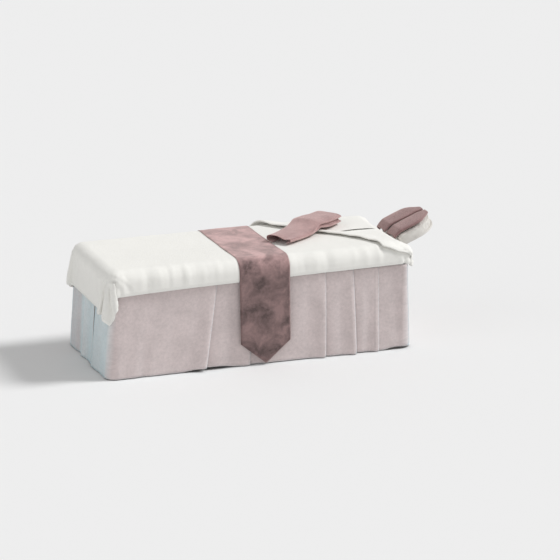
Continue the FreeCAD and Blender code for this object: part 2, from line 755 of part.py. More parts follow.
def sockets():
    """Steel sockets under the deck, their hardwood blocks and the bosses for the locking studs."""
    for side, s in SIDES:
        y = f"{s}*rod_y"
        wood = box(f"block_{side}_wood", ("block_length", "block_width", "deck_bottom - block_bottom"),
                   "socket_start + block_length/2", y, "block_bottom")
        bore = cylinder(f"block_{side}_bore", "socket_radius + rod_clearance", "3*block_length",
                        "socket_start - block_length", y, "rod_level", "x")
        node(cut(f"block_{side}", wood, bore), f"socket_block_{side}")
        tube = cylinder(f"tube_{side}", "socket_radius", "socket_end - socket_start",
                        "socket_start", y, "rod_level", "x")
        inside = cylinder(f"tube_{side}_inside", "rod_radius + rod_clearance", "socket_end",
                          "socket_start - block_length", y, "rod_level", "x")
        stud_hole = cylinder(f"tube_{side}_stud_hole", "stud_hole_radius", "2*socket_radius",
                             "stud_x", y, "rod_level - 2*socket_radius")
        node(cut(f"socket_{side}", tube, inside, stud_hole), f"socket_tube_{side}")
        ring = cylinder(f"boss_{side}_ring", "boss_radius", "rod_level - boss_bottom", "stud_x", y,
                        "boss_bottom")
        saddle = cylinder(f"boss_{side}_saddle", "socket_radius", "4*boss_radius",
                          "stud_x - 2*boss_radius", y, "rod_level", "x")
        thread = cylinder(f"boss_{side}_thread", "stud_hole_radius", "rod_level", "stud_x", y,
                          "boss_bottom - 1")
        node(cut(f"boss_{side}", ring, saddle, thread), f"socket_boss_{side}")


def locking_knobs():
    """A star grip and its steel stud under each socket. Screwed in, the stud's end grips the rod."""
    for side, s in SIDES:
        name = f"knob_{side}"
        grip = padded_body(name, "XY", "knob_height",
                           lambda sketch: circle(sketch, "0", "0", "knob_radius"))
        profile = sketch_in(grip, name + "_scallop_sketch", "XY")
        circle(profile, "knob_radius + knob_scallop/2", "0", "knob_scallop")
        scallop = grip.newObject("PartDesign::Pocket", name + "_scallop")
        scallop.Profile = profile
        scallop.Type = "ThroughAll"
        scallop.Midplane = True
        doc.recompute()
        pattern = grip.newObject("PartDesign::PolarPattern", name + "_scallops")
        pattern.Originals = [scallop]
        pattern.Axis = (profile, ["N_Axis"])
        pattern.Angle = 360
        pattern.Occurrences = int(number("knob_lobes"))
        grip.Tip = pattern
        node(grip, f"rod_knob_{side}", "stud_x", f"{s}*rod_y", "stud_bottom - knob_height")
        stud = doc.addObject("Part::Cylinder", f"stud_{side}")
        bind(stud, Radius="stud_radius", Height="stud_top - stud_bottom")
        node(stud, f"rod_stud_{side}", "stud_x", f"{s}*rod_y", "stud_bottom")


def rods_and_yoke():
    """Two sliding rods, the bar that joins them and the two ears that carry the tilt pin."""
    bar = box("yoke_bar", ("yoke_length", "yoke_width", "yoke_height"), "yoke_start + yoke_length/2", "0",
              "yoke_bottom")
    bores = []
    for side, s in SIDES:
        rod = doc.addObject("Part::Cylinder", f"rod_{side}")
        bind(rod, Radius="rod_radius", Height="rod_end - rod_start")
        node(rod, f"headrest_rod_{side}", "rod_start", f"{s}*rod_y", "rod_level", (0, 1, 0), "90")
        bores.append(cylinder(f"yoke_bore_{side}", "rod_radius + rod_clearance",
                              "rod_end - yoke_start + 2*yoke_length",
                              "yoke_start - 2*yoke_length", f"{s}*rod_y", "rod_level", "x"))
        reach = "(yoke_bottom + yoke_height)"
        width = "(pivot_x + ear_radius - yoke_start - 2)"
        middle = "ear_inner_y + ear_thickness/2"
        plate = box(f"ear_{side}_plate", (width, "ear_thickness", f"pivot_z - {reach}"),
                    f"yoke_start + 2 + {width}/2", f"{s}*({middle})", reach)
        crown = cylinder(f"ear_{side}_crown", "ear_radius", "ear_thickness",
                         "pivot_x", f"{s}*({middle}) - ear_thickness/2", "pivot_z", "y")
        hole = cylinder(f"ear_{side}_hole", "pin_hole_radius", "4*ear_thickness",
                        "pivot_x", f"{s}*({middle}) - 2*ear_thickness", "pivot_z", "y")
        node(cut(f"ear_{side}", fuse(f"ear_{side}_blank", plate, crown), hole), f"yoke_ear_{side}")
    node(cut("yoke", bar, *bores), "headrest_yoke")


def tilt_pin_and_lever():
    """The pin, its end nut, and the clamping lever that squeezes the ears on the lugs."""
    pin = doc.addObject("Part::Cylinder", "pin")
    bind(pin, Radius="pin_radius", Height="pin_near + pin_far")
    node(pin, "tilt_pin", "pivot_x", "-pin_near", "pivot_z", (1, 0, 0), "-90")
    outside = "ear_inner_y + ear_thickness"
    blank = doc.addObject("Part::Prism", "end_nut_blank")
    bind(blank, Circumradius="nut_radius + 2", Height="pin_far - ear_inner_y - ear_thickness - disc_gap")
    put(blank, "0", f"{outside} + disc_gap", "0", (1, 0, 0), "-90")
    bore = cylinder("end_nut_bore", "pin_hole_radius", "2*pin_far", along="y")
    node(cut("end_nut", blank, bore), "pin_nut", "pivot_x", "0", "pivot_z")
    start = "-(ear_inner_y + ear_thickness + 1)"
    hub = cylinder("lever_hub", "lever_hub_radius", "lever_hub_length", "0", f"{start} - lever_hub_length",
                   "0", "y")
    arm = cylinder("lever_arm", "lever_arm_radius", "lever_arm_length", "0",
                   f"{start} - lever_hub_length/2", "0", "x")
    hub_bore = cylinder("lever_bore", "pin_hole_radius", "4*lever_hub_length",
                        "0", f"{start} - 3*lever_hub_length", "0", "y")
    node(cut("lever", fuse("lever_blank", hub, arm), hub_bore), "tilt_lever",
         "pivot_x", "0", "pivot_z", (0, 1, 0), "lever_drop_angle")
    ball = doc.addObject("Part::Sphere", "ball")
    bind(ball, Radius="lever_ball_radius")
    socket = cylinder("ball_socket", "lever_arm_radius + rod_clearance", "lever_ball_radius",
                      "-lever_ball_radius", "0", "0", "x")
    grip = cut("lever_grip", ball, socket)
    reach = "lever_arm_length"
    node(grip, "lever_ball", f"pivot_x + {reach}*cos(lever_drop_angle)", f"{start} - lever_hub_length/2",
         f"pivot_z - {reach}*sin(lever_drop_angle)", (0, 1, 0), "lever_drop_angle")


# ---- headrest, drawn in its own frame at the pivot and then tilted ----

def tilted(thing, label):
    return node(thing, label, "pivot_x", "0", "pivot_z", (0, 1, 0), "-rest_tilt")


def headrest():
    """Plywood board on two hinge lugs, with tape strips, a foam cushion and a folded towel on top."""
    screw_spots = [(x, f"{s}*(lug_inner_y - flange_width/3)") for side, s in SIDES for x in ("20", "38")]

    def board_face(sketch):
        headrest_shape(sketch, "board_start", "board_end", "board_width")
        for x, y in screw_spots:
            circle(sketch, x, y, "screw_radius + rod_clearance")
    tilted(padded_body("board", "XY", "board_thickness", board_face, "board_level"), "headrest_board")
    for side, s in SIDES:
        lug(side, s)
    screws = []
    for i, (x, y) in enumerate(screw_spots):
        under = "board_level - flange_thickness"
        head = cylinder(f"screw_{i}_head", "screw_head_radius", "screw_head_height", x, y,
                        f"{under} - screw_head_height")
        shank = cylinder(f"screw_{i}_shank", "screw_radius", "screw_length", x, y, under)
        screws.append(fuse(f"screw_{i}", head, shank))
    tilted(group("screws", screws), "lug_screws")
    discs = []
    for side, s in SIDES:
        gap = "(ear_inner_y - lug_inner_y - lug_thickness)"
        first = f"{s}*(lug_inner_y + lug_thickness + {gap}/2) - ({gap} - 2*disc_gap)/2"
        disc = cylinder(f"disc_{side}_blank", "lug_radius", f"{gap} - 2*disc_gap", "0", first, "0", "y")
        hole = cylinder(f"disc_{side}_hole", "pin_hole_radius", "4*lug_thickness", "0",
                        f"{first} - lug_thickness", "0", "y")
        discs.append(cut(f"disc_{side}", disc, hole))
    tilted(group("discs", discs), "friction_discs")
    strip = ("board_end/2", "leg_size/2", "pad_tape_thickness")
    strips = [box(f"pad_tape_{side}", strip, "board_end/2", f"{s}*board_width/4",
                  "board_level + board_thickness")
              for side, s in SIDES]
    tilted(group("pad_tapes", strips), "cushion_tape")
    foam = padded_body("cushion", "XY", "cushion_height",
                       lambda sketch: headrest_shape(sketch, "cushion_start", "cushion_end",
                                                     "cushion_width"),
                       "cushion_level")
    doc.recompute()
    rims = [f"Edge{i}" for i, edge in enumerate(foam.Tip.Shape.Edges, 1) if not upright_edge(edge)]
    firm = foam.Tip
    soft = foam.newObject("PartDesign::Fillet", "cushion_fillet")
    soft.Base = (firm, rims)
    bind(soft, Radius="cushion_edge")
    tilted(foam, "headrest_cushion")
    half, end_half = "rest_towel_width/2", "rest_towel_end_width/2"
    linen = padded_body("rest_towel", "XY", "rest_towel_height", lambda sketch: outline(sketch, [
        ("rest_towel_start", f"-{half}"), ("rest_towel_shoulder", f"-{half}"),
        ("rest_towel_end", f"-{end_half}"),
        ("rest_towel_end", end_half), ("rest_towel_shoulder", half), ("rest_towel_start", half)]),
        "cushion_level + cushion_height + fit_gap")
    tilted(linen, "headrest_towel")


def lug(side, s):
    """A hinge plate with a rounded end at the pin and a flange screwed under the board."""
    middle = f"{s}*(lug_inner_y + lug_thickness/2)"
    under = "(board_level - flange_thickness)"
    plate = box(f"lug_{side}_plate", ("2*lug_radius", "lug_thickness", "board_level"), "0", middle, "0")
    crown = cylinder(f"lug_{side}_crown", "lug_radius", "lug_thickness", "0",
                     f"{middle} - lug_thickness/2", "0", "y")
    flange = box(f"lug_{side}_flange", ("flange_end + lug_radius", "flange_width", "flange_thickness"),
                 "(flange_end - lug_radius)/2", f"{s}*(lug_inner_y + lug_thickness - flange_width/2)",
                 under)
    pin_hole = cylinder(f"lug_{side}_pin_hole", "pin_hole_radius", "4*lug_thickness",
                        "0", f"{middle} - 2*lug_thickness", "0", "y")
    screw_holes = [cylinder(f"lug_{side}_screw_hole_{x}", "screw_radius + 0.2", "board_level", x,
                            f"{s}*(lug_inner_y - flange_width/3)", "board_level/2") for x in ("20", "38")]
    blank = fuse(f"lug_{side}_blank", plate, crown, flange)
    tilted(cut(f"lug_{side}", blank, pin_hole, *screw_holes), f"headrest_lug_{side}")


def check_and_write():
    """Stops on any failed object or bad shape, then writes one STEP file for each sub-part."""
    doc.removeObject(slate.Name)
    doc.recompute()
    failed = [o.Name for o in doc.Objects if {"Invalid", "Error"} & set(o.State)]
    if failed:
        raise RuntimeError(f"these objects failed: {failed}")
    for thing in NODES:
        if thing.Shape.isNull() or not thing.Shape.isValid() or not thing.Shape.Solids:
            raise RuntimeError(f"{thing.Label} has no valid solid")
    os.makedirs("parts", exist_ok=True)
    whole = FreeCAD.BoundBox()
    for thing in NODES:
        thing.Shape.exportStep(os.path.join("parts", thing.Label + ".step"))
        whole.add(thing.Shape.BoundBox)
    print(len(NODES), "nodes; box", whole)


fill_sheet()
legs_and_glides()
aprons()
leg_fasteners()
stretchers_and_joists()
deck()
mattress()
skirt_tape()
skirt()
duvet()
top_sheet()
runner()
towel()
sockets()
locking_knobs()
rods_and_yoke()
tilt_pin_and_lever()
headrest()
check_and_write()
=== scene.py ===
import math

import bpy
import numpy as np
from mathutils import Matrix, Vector, noise
from mathutils.bvhtree import BVHTree


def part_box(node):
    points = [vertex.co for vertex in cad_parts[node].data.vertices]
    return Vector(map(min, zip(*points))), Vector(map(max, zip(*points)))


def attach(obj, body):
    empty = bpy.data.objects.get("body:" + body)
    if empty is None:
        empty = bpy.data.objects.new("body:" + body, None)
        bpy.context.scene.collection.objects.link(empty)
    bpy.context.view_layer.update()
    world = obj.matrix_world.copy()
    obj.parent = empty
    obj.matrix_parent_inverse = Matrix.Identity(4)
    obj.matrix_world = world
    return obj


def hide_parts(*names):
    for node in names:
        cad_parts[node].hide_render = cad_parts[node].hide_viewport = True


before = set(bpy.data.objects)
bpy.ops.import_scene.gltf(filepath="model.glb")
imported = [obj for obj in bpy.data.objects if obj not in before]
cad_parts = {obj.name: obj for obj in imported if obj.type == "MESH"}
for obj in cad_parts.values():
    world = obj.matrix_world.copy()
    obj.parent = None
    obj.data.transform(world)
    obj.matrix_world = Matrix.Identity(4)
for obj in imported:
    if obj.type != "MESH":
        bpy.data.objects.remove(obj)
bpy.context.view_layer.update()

# ---- Studio ----
# A wide pale floor under an even white sky. One broad light stands low beyond the head end and throws a
# soft shadow past the foot, and a weaker one on the foot's near side opens up the faces turned away from it.
scene = bpy.context.scene
scene.view_settings.view_transform = "Standard"

cover_low, cover_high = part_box("mattress_cover")
bed_middle = (cover_low.x + cover_high.x) / 2

sky = bpy.data.worlds.new("sky")
sky.use_nodes = True
sky.node_tree.nodes["Background"].inputs["Color"].default_value = (1.0, 1.0, 1.0, 1.0)
sky.node_tree.nodes["Background"].inputs["Strength"].default_value = 0.48
scene.world = sky


def studio_light(name, towards, height, strength, spread):
    """A sun light. towards is the compass turn of its beam from +X, and height its angle above the floor."""
    light = bpy.data.lights.new(name, "SUN")
    light.energy = strength
    light.angle = math.radians(spread)
    lamp = bpy.data.objects.new(name, light)
    beam = Vector((math.cos(math.radians(towards)) * math.cos(math.radians(height)),
                   math.sin(math.radians(towards)) * math.cos(math.radians(height)),
                   -math.sin(math.radians(height))))
    lamp.rotation_euler = beam.to_track_quat("-Z", "Y").to_euler()
    scene.collection.objects.link(lamp)


studio_light("head_light", towards=168, height=45, strength=2.22, spread=17)
studio_light("foot_light", towards=12, height=14, strength=0.42, spread=60)

floor_mesh = bpy.data.meshes.new("studio_floor")
floor_reach = 60.0
floor_mesh.from_pydata([(-floor_reach, -floor_reach, 0), (floor_reach, -floor_reach, 0),
                        (floor_reach, floor_reach, 0), (-floor_reach, floor_reach, 0)], [], [(0, 1, 2, 3)])
studio_floor = bpy.data.objects.new("studio_floor", floor_mesh)
scene.collection.objects.link(studio_floor)
pale_floor = bpy.data.materials.new("pale_floor")
pale_floor.use_nodes = True
pale_floor.node_tree.nodes["Principled BSDF"].inputs["Base Color"].default_value = (0.84, 0.84, 0.84, 1)
pale_floor.node_tree.nodes["Principled BSDF"].inputs["Roughness"].default_value = 0.9
pale_floor.node_tree.nodes["Principled BSDF"].inputs["Specular IOR Level"].default_value = 0.0
floor_mesh.materials.append(pale_floor)

camera = bpy.data.objects.new("camera", bpy.data.cameras.new("camera"))
camera.data.lens = 163.37
camera.data.sensor_width = 36.0
camera.data.clip_end = 200.0
camera.location = (bed_middle - 5.0115, -14.1872, 4.7331)
aim = Vector((bed_middle + 0.2657, 0.0, 0.3922))
camera.rotation_euler = (aim - camera.location).to_track_quat("-Z", "Y").to_euler()
scene.collection.objects.link(camera)
scene.camera = camera

# ---- Timber frame ----
# Legs, rails, braces, joists and socket blocks of clear-lacquered beech, with a plywood deck on top.
# The pieces keep their shapes and get their grain here, run along each piece's longest side.


class Wire:
    """A value in a material, on which Python's arithmetic adds the nodes that work it out."""

    def __init__(self, finish, socket):
        self.finish = finish
        self.socket = socket

    def by(self, operation, first, second=0.0):
        return self.finish.node("ShaderNodeMath", {"operation": operation}, {0: first, 1: second})

    def __add__(self, other):
        return self.by("ADD", self, other)

    def __sub__(self, other):
        return self.by("SUBTRACT", self, other)

    def __rsub__(self, other):
        return self.by("SUBTRACT", other, self)

    def __mul__(self, other):
        return self.by("MULTIPLY", self, other)

    __radd__ = __add__
    __rmul__ = __mul__


class Finish:
    """A material under way: its shader's fixed values, and the nodes that vary its colour and relief."""

    def __init__(self, name, **fixed):
        self.material = bpy.data.materials.new(name)
        self.material.use_nodes = True
        self.tree = self.material.node_tree
        self.shader = self.tree.nodes["Principled BSDF"]
        for socket, value in fixed.items():
            self.shader.inputs[socket.replace("_", " ")].default_value = value

    def node(self, kind, settings=None, inputs=None, output=0):
        made = self.tree.nodes.new(kind)
        for key, value in (settings or {}).items():
            if key == "stops":
                self.set_stops(made.color_ramp, value)
            else:
                setattr(made, key, value)
        for socket, value in (inputs or {}).items():
            self.feed(made.inputs[socket], value)
        return Wire(self, made.outputs[output])

    def set_stops(self, ramp, stops):
        while len(ramp.elements) < len(stops):
            ramp.elements.new(0.5)
        for element, (place, colour) in zip(ramp.elements, stops):
            element.position = place
            element.color = colour if len(colour) == 4 else (*colour, 1.0)

    def feed(self, socket, value):
        if isinstance(value, Wire):
            self.tree.links.new(value.socket, socket)
        else:
            socket.default_value = value

    def place(self, scale=(1, 1, 1), uv=False):
        """Where a point lies on the object, or on the flat cloth where uv is set, stretched by a scale."""
        source = self.node("ShaderNodeTexCoord", output=2 if uv else 3)
        return self.node("ShaderNodeMapping", {}, {"Vector": source, "Scale": scale})

    def noise(self, place, scale, detail=4.0, rough=0.55, warp=0.0):
        return self.node("ShaderNodeTexNoise", {}, {"Vector": place, "Scale": scale, "Detail": detail,
                                                    "Roughness": rough, "Distortion": warp})

    def ramp(self, value, stops):
        return self.node("ShaderNodeValToRGB", {"stops": stops}, {"Fac": value})

    def blend(self, mask, first, second, how="MIX"):
        return self.node("ShaderNodeMix", {"data_type": "RGBA", "blend_type": how},
                         {0: mask, 6: first, 7: second}, output=2)

    def relief(self, height, depth, over=None):
        """Raises the surface by height times depth in metres, on top of an earlier relief."""
        inputs = {"Height": height, "Distance": depth, "Strength": 1.0}
        if over is not None:
            inputs["Normal"] = over
        return self.node("ShaderNodeBump", {}, inputs)

    def done(self, **varied):
        for socket, value in varied.items():
            self.feed(self.shader.inputs[socket.replace("_", " ")], value)
        return self.material


def beech(name, pale, dark, along, rough=0.42):
    """Lacquered wood whose grain runs along one axis, with growth rings, pores and a slow change of tone."""
    wood = Finish(name, Coat_Weight=0.15, Coat_Roughness=0.3)
    ring_scale = tuple(0.07 if axis == along else 1.0 for axis in range(3))
    pore_scale = tuple(0.03 if axis == along else 1.0 for axis in range(3))
    rings = wood.noise(wood.place(scale=ring_scale), 22.0, 5.0, 0.6, 1.4)
    pores = wood.noise(wood.place(scale=pore_scale), 420.0, 3.0)
    tone = wood.noise(wood.place(), 2.2, 2.0)
    grain = wood.ramp(rings * 0.8 + tone * 0.25, [(0.3, dark), (0.52, pale), (0.72, dark), (0.9, pale)])
    colour = wood.blend(wood.ramp(pores, [(0.36, (0.55, 0.55, 0.55)), (0.5, (1, 1, 1))]), (0, 0, 0, 1), grain)
    return wood.done(Base_Color=colour, Roughness=rings * 0.2 + rough - 0.1,
                     Normal=wood.relief(pores + rings * 0.5, 0.0002))


def dress(node, material):
    """Gives a CAD piece a better material."""
    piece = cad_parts[node]
    piece.data.materials.clear()
    piece.data.materials.append(material)


beech_pale, beech_dark = (0.60, 0.40, 0.23), (0.42, 0.25, 0.13)
ply_pale, ply_dark = (0.66, 0.50, 0.33), (0.52, 0.37, 0.22)
grain_lengthwise = beech("beech_lengthwise", beech_pale, beech_dark, 0)
grain_crosswise = beech("beech_crosswise", beech_pale, beech_dark, 1)
grain_upright = beech("beech_upright", beech_pale, beech_dark, 2)
plywood = beech("plywood", ply_pale, ply_dark, 0, 0.6)
for node in ("apron_near", "apron_far", "stretcher_middle"):
    dress(node, grain_lengthwise)
for node in ("apron_foot", "apron_head", "stretcher_foot", "stretcher_head", "joist_foot", "joist_middle",
             "joist_head"):
    dress(node, grain_crosswise)
for node in ("leg_near_foot", "leg_near_head", "leg_far_foot", "leg_far_head", "socket_block_near",
             "socket_block_far"):
    dress(node, grain_upright)
for node in ("deck_board", "deck_end_board", "deck_side_strips"):
    dress(node, plywood)

# ---- Glides, bolts and steelwork ----
# Moulded rubber glides plug into the legs. Zinc-plated bolts, nuts and screws hold the timber, the headrest
# runs on bright drawn rods and a pin, and its sockets, yoke, ears, lugs and lever are powder-coated.


def rubber(name, colour):
    moulded = Finish(name, Specular_IOR_Level=0.3)
    speck = moulded.noise(moulded.place(), 260.0, 3.0)
    wear = moulded.noise(moulded.place(), 14.0, 3.0)
    dusty = tuple(0.5 * part + 0.06 for part in colour)
    return moulded.done(Base_Color=moulded.ramp(wear, [(0.35, colour), (0.75, dusty)]),
                        Roughness=wear * 0.25 + 0.55, Normal=moulded.relief(speck, 0.0002))


def bright_steel(name, along, rough):
    """Drawn or turned steel with fine marks along an axis and slight clouding."""
    steel = Finish(name, Metallic=1.0)
    mark_scale = tuple(0.02 if axis == along else 1.0 for axis in range(3))
    marks = steel.noise(steel.place(scale=mark_scale), 900.0, 2.0)
    cloud = steel.noise(steel.place(), 30.0, 3.0)
    return steel.done(Base_Color=steel.ramp(cloud, [(0.3, (0.50, 0.51, 0.52)), (0.7, (0.66, 0.66, 0.65))]),
                      Roughness=marks * 0.2 + cloud * 0.12 + rough - 0.15,
                      Normal=steel.relief(marks, 0.00005))


def powder_coat(name, colour):
    """Powder-coated steel: a fine orange-peel skin, a little paler where it catches wear."""
    coat = Finish(name, Coat_Weight=0.1)
    peel = coat.noise(coat.place(), 340.0, 2.0)
    worn = coat.noise(coat.place(), 25.0, 4.0)
    pale = tuple(min(1.0, part * 1.12) for part in colour)
    return coat.done(Base_Color=coat.ramp(worn, [(0.4, colour), (0.8, pale)]), Roughness=peel * 0.12 + 0.34,
                     Normal=coat.relief(peel, 0.00012))


dress("leg_glides", rubber("glide_rubber", (0.035, 0.035, 0.037)))
zinc = bright_steel("zinc_plate", 2, 0.42)
drawn_steel = bright_steel("drawn_steel", 0, 0.26)
turned_steel = bright_steel("turned_steel", 1, 0.28)
ivory_coat = powder_coat("ivory_powder_coat", (0.70, 0.69, 0.66))
knob_plastic = rubber("knob_plastic", (0.03, 0.03, 0.034))
for node in ("leg_bolts", "leg_nuts", "lug_screws", "rod_stud_near", "rod_stud_far"):
    dress(node, zinc)
for node in ("headrest_rod_near", "headrest_rod_far"):
    dress(node, drawn_steel)
for node in ("tilt_pin", "pin_nut"):
    dress(node, turned_steel)
for node in ("socket_tube_near", "socket_tube_far", "socket_boss_near", "socket_boss_far", "headrest_yoke",
             "yoke_ear_near", "yoke_ear_far", "headrest_lug_near", "headrest_lug_far", "tilt_lever"):
    dress(node, ivory_coat)
for node in ("rod_knob_near", "rod_knob_far", "lever_ball", "friction_discs"):
    dress(node, knob_plastic)

# ---- Mattress ----
# Foam under a soft vinyl cover with a fine leather grain. A foam sleeve lines the face hole, and woven
# hook-and-loop tape runs round the rails for the skirt and across the headrest board for its cushion.
vinyl = Finish("cover_vinyl", Specular_IOR_Level=0.4)
vinyl_cells = vinyl.node("ShaderNodeTexVoronoi", {"feature": "DISTANCE_TO_EDGE"},
                         {"Vector": vinyl.place(), "Scale": 420.0})
vinyl_tone = vinyl.noise(vinyl.place(), 3.0, 3.0)
dress("mattress_cover", vinyl.done(
    Base_Color=vinyl.ramp(vinyl_tone, [(0.35, (0.74, 0.71, 0.65)), (0.7, (0.80, 0.78, 0.73))]),
    Roughness=vinyl_tone * 0.15 + 0.42, Normal=vinyl.relief(vinyl_cells, 0.0006)))


def open_foam(name, colour):
    foam = Finish(name, Specular_IOR_Level=0.1)
    cells = foam.node("ShaderNodeTexVoronoi", {}, {"Vector": foam.place(), "Scale": 520.0})
    tone = foam.noise(foam.place(), 9.0, 3.0)
    dim = tuple(part * 0.82 for part in colour)
    return foam.done(Base_Color=foam.ramp(tone, [(0.3, dim), (0.7, colour)]), Roughness=tone * 0.1 + 0.85,
                     Normal=foam.relief(cells, 0.0008))


def hook_tape(name, colour):
    tape = Finish(name, Sheen_Weight=0.3)
    loops = tape.node("ShaderNodeTexVoronoi", {}, {"Vector": tape.place(), "Scale": 900.0})
    return tape.done(Base_Color=tape.ramp(loops, [(0.1, tuple(0.6 * c for c in colour)), (0.6, colour)]),
                     Roughness=loops * 0.1 + 0.8, Normal=tape.relief(loops, 0.0006))


dress("mattress_core", open_foam("mattress_foam", (0.78, 0.70, 0.52)))
dress("face_hole_liner", open_foam("liner_foam", (0.72, 0.66, 0.56)))
dress("skirt_tape", hook_tape("skirt_hook_tape", (0.72, 0.70, 0.66)))
dress("cushion_tape", hook_tape("cushion_hook_tape", (0.72, 0.70, 0.66)))

# ---- Skirt ----
# Pale pink-grey velvet, hung from the rails to the floor in knife pleats and open in a slit at the foot end.
# The near and far lengths turn both corners. A head length with notches for the rods hangs inside them.
skirt_top, skirt_hem, skirt_thick = 0.537, 0.0035, 0.0022
skirt_half_length, skirt_half_width, skirt_corner = 0.9405, 0.3885, 0.024
near_slit, far_slit, skirt_return = 0.095, -0.086, 0.05
side_start = 0.9165 + skirt_half_width - skirt_corner - near_slit + skirt_corner * math.pi / 2


def drift(x, y, z):
    """A smooth chance value from -1 to 1, the same at the same place on every run."""
    return noise.noise(Vector((x, y, z)))


def velvet(name, deep, pale, sheen_tint, sheen, patch, cloud, nap=0.0006, sheen_rough=0.45, brushed=0.0,
           painted_cool_reach=0.0, blur=0.16):
    """Velvet: clouds where the pile lies differently, over a finer mottle and a soft nap. A small
    blur makes the clouds stand out. Where a sheen reach is given, the colour is painted paler out to that
    distance from the middle of the cut: a painted sheen on the part that lies flat on top. Where a cool reach
    is given, the colour is painted bluer up to that distance along the cut from its start: a painted bluish
    sheen on the faces at the foot end."""
    pile = Finish(name, Specular_IOR_Level=0.15, Sheen_Weight=sheen, Sheen_Roughness=sheen_rough,
                  Sheen_Tint=(*sheen_tint, 1.0))
    flat_place = pile.place(uv=True)
    clouds = pile.noise(flat_place, patch, 3.0, 0.5, 0.6)
    mottle = pile.noise(flat_place, patch * 6.0, 4.0, 0.6, 0.3)
    fibres = pile.noise(flat_place, 900.0, 2.0)
    pressed = pile.noise(flat_place, patch * 22.0, 3.0, 0.65)
    mix = clouds * cloud + mottle * (1.0 - cloud) * 0.7 + pressed * (1.0 - cloud) * 0.3
    between = tuple((a + b) / 2 for a, b in zip(deep, pale))
    stops = [(0.5 - blur, deep), (0.5, between), (0.5 + blur, pale)]
    relief = pile.relief(fibres, nap, pile.relief(pressed, nap * 2.0))
    colour = pile.ramp(mix, stops)
    # Painted sheen: out to the given reach from the middle of the cut, where the cloth lies flat on top of
    # the bed, the colour is painted up to 2.3 times lighter to stand for the sheen its pile shows there.
    if brushed:
        length = pile.node("ShaderNodeSeparateXYZ", {}, {"Vector": flat_place}, output=1)
        from_middle = length.by("ABSOLUTE", length) + clouds * 0.10 - 0.05
        smooth = pile.ramp(from_middle, [(brushed - 0.05, (1, 1, 1)), (brushed + 0.09, (0, 0, 0))])
        paler = pile.blend(1.0, colour, (2.3, 2.3, 2.3, 1.0), "MULTIPLY")
        colour = pile.blend(smooth, colour, paler)
    # Painted sheen: up to the given reach along the cut from its start, which is the skirt's foot end, the
    # colour is painted bluer to stand for the bluish sheen the pile shows there.
    if painted_cool_reach:
        length = pile.node("ShaderNodeSeparateXYZ", {}, {"Vector": flat_place}, output=0)
        turned = pile.ramp(length + clouds * 0.02, [(painted_cool_reach, (1, 1, 1)), (painted_cool_reach + 0.03, (0, 0, 0))])
        cooler = pile.blend(1.0, colour, (1.06, 1.24, 1.27, 1.0), "MULTIPLY")
        colour = pile.blend(turned, colour, cooler)
    return pile.done(Base_Color=colour, Roughness=mottle * 0.15 + 0.72, Normal=relief)


def vertex_normals(points, faces):
    """Unit normals at the points of a grid of four-sided or smaller faces."""
    normals = np.zeros_like(points)
    for face in faces:
        corner = points[list(face)]
        across = np.cross(corner[1] - corner[0], corner[-1] - corner[0])
        for index in face:
            normals[index] += across
    lengths = np.linalg.norm(normals, axis=1, keepdims=True)
    return normals / np.maximum(lengths, 1e-12)


def cloth_piece(name, points, faces, flat, thickness, material, edge_share=0.4):
    """A closed sheet of cloth about a surface, thinned at its edge. flat is each point's place on the cut."""
    points = np.asarray(points, float)
    normals = vertex_normals(points, faces)
    sides = {}
    for face in faces:
        for start, end in zip(face, face[1:] + face[:1]):
            sides[(start, end)] = sides.get((start, end), 0) + 1
    rims = [side for side in sides if (side[1], side[0]) not in sides]
    full = np.ones(len(points))
    border = {index for side in rims for index in side}
    beside = {b for a, b in sides if a in border and b not in border}
    full[list(beside)] = 0.5 + edge_share / 2
    full[list(border)] = edge_share
    half = (normals.T * full * thickness / 2).T
    count = len(points)
    shell = np.vstack((points + half, points - half))
    walls = [(a, a + count, b + count, b) for a, b in rims]
    backs = [tuple(index + count for index in reversed(face)) for face in faces]
    mesh = bpy.data.meshes.new(name)
    mesh.from_pydata(shell.tolist(), [], [tuple(face) for face in faces] + backs + walls)
    layer = mesh.uv_layers.new(name="cut")
    places = np.vstack((flat, flat))[[loop.vertex_index for loop in mesh.loops]]
    layer.data.foreach_set("uv", places.astype(np.float32).ravel())
    mesh.shade_smooth()
    mesh.materials.append(material)
    piece = bpy.data.objects.new(name, mesh)
    scene.collection.objects.link(piece)
    return piece


def grid(rows, columns):
    """Faces of a grid whose points run column by column within each row."""
    return [(r * columns + c, r * columns + c + 1, (r + 1) * columns + c + 1, (r + 1) * columns + c)
            for r in range(rows - 1) for c in range(columns - 1)]


# The skirt's foot stretch, up to 0.30 along the cut, is painted bluer: a painted bluish sheen.
skirt_velvet = velvet("skirt_velvet", (0.575, 0.485, 0.475), (0.76, 0.645, 0.632), (0.66, 0.93, 1.0), 1.0,
                      9.0, 0.35, sheen_rough=0.52, painted_cool_reach=0.30)

# A knife pleat seen from above: how far along the line each point of the cloth lies from the fold's edge,
# and how far it stands out as a share of the pleat's depth. The cloth turns back under its own edge.
knife_pleat = [(-0.115, 0.0), (-0.095, 0.08), (-0.075, 0.24), (-0.055, 0.46), (-0.040, 0.70), (-0.028, 0.89),
               (-0.018, 0.985), (-0.010, 1.0), (-0.004, 0.96), (0.001, 0.87), (0.0045, 0.74), (0.006, 0.60),
               (0.005, 0.46), (0.001, 0.34), (-0.005, 0.20), (-0.010, 0.05), (-0.011, -0.12),
               (-0.007, -0.26), (0.002, -0.32), (0.014, -0.33), (0.028, -0.29), (0.045, -0.24),
               (0.070, -0.15), (0.100, -0.05), (0.130, 0.0)]


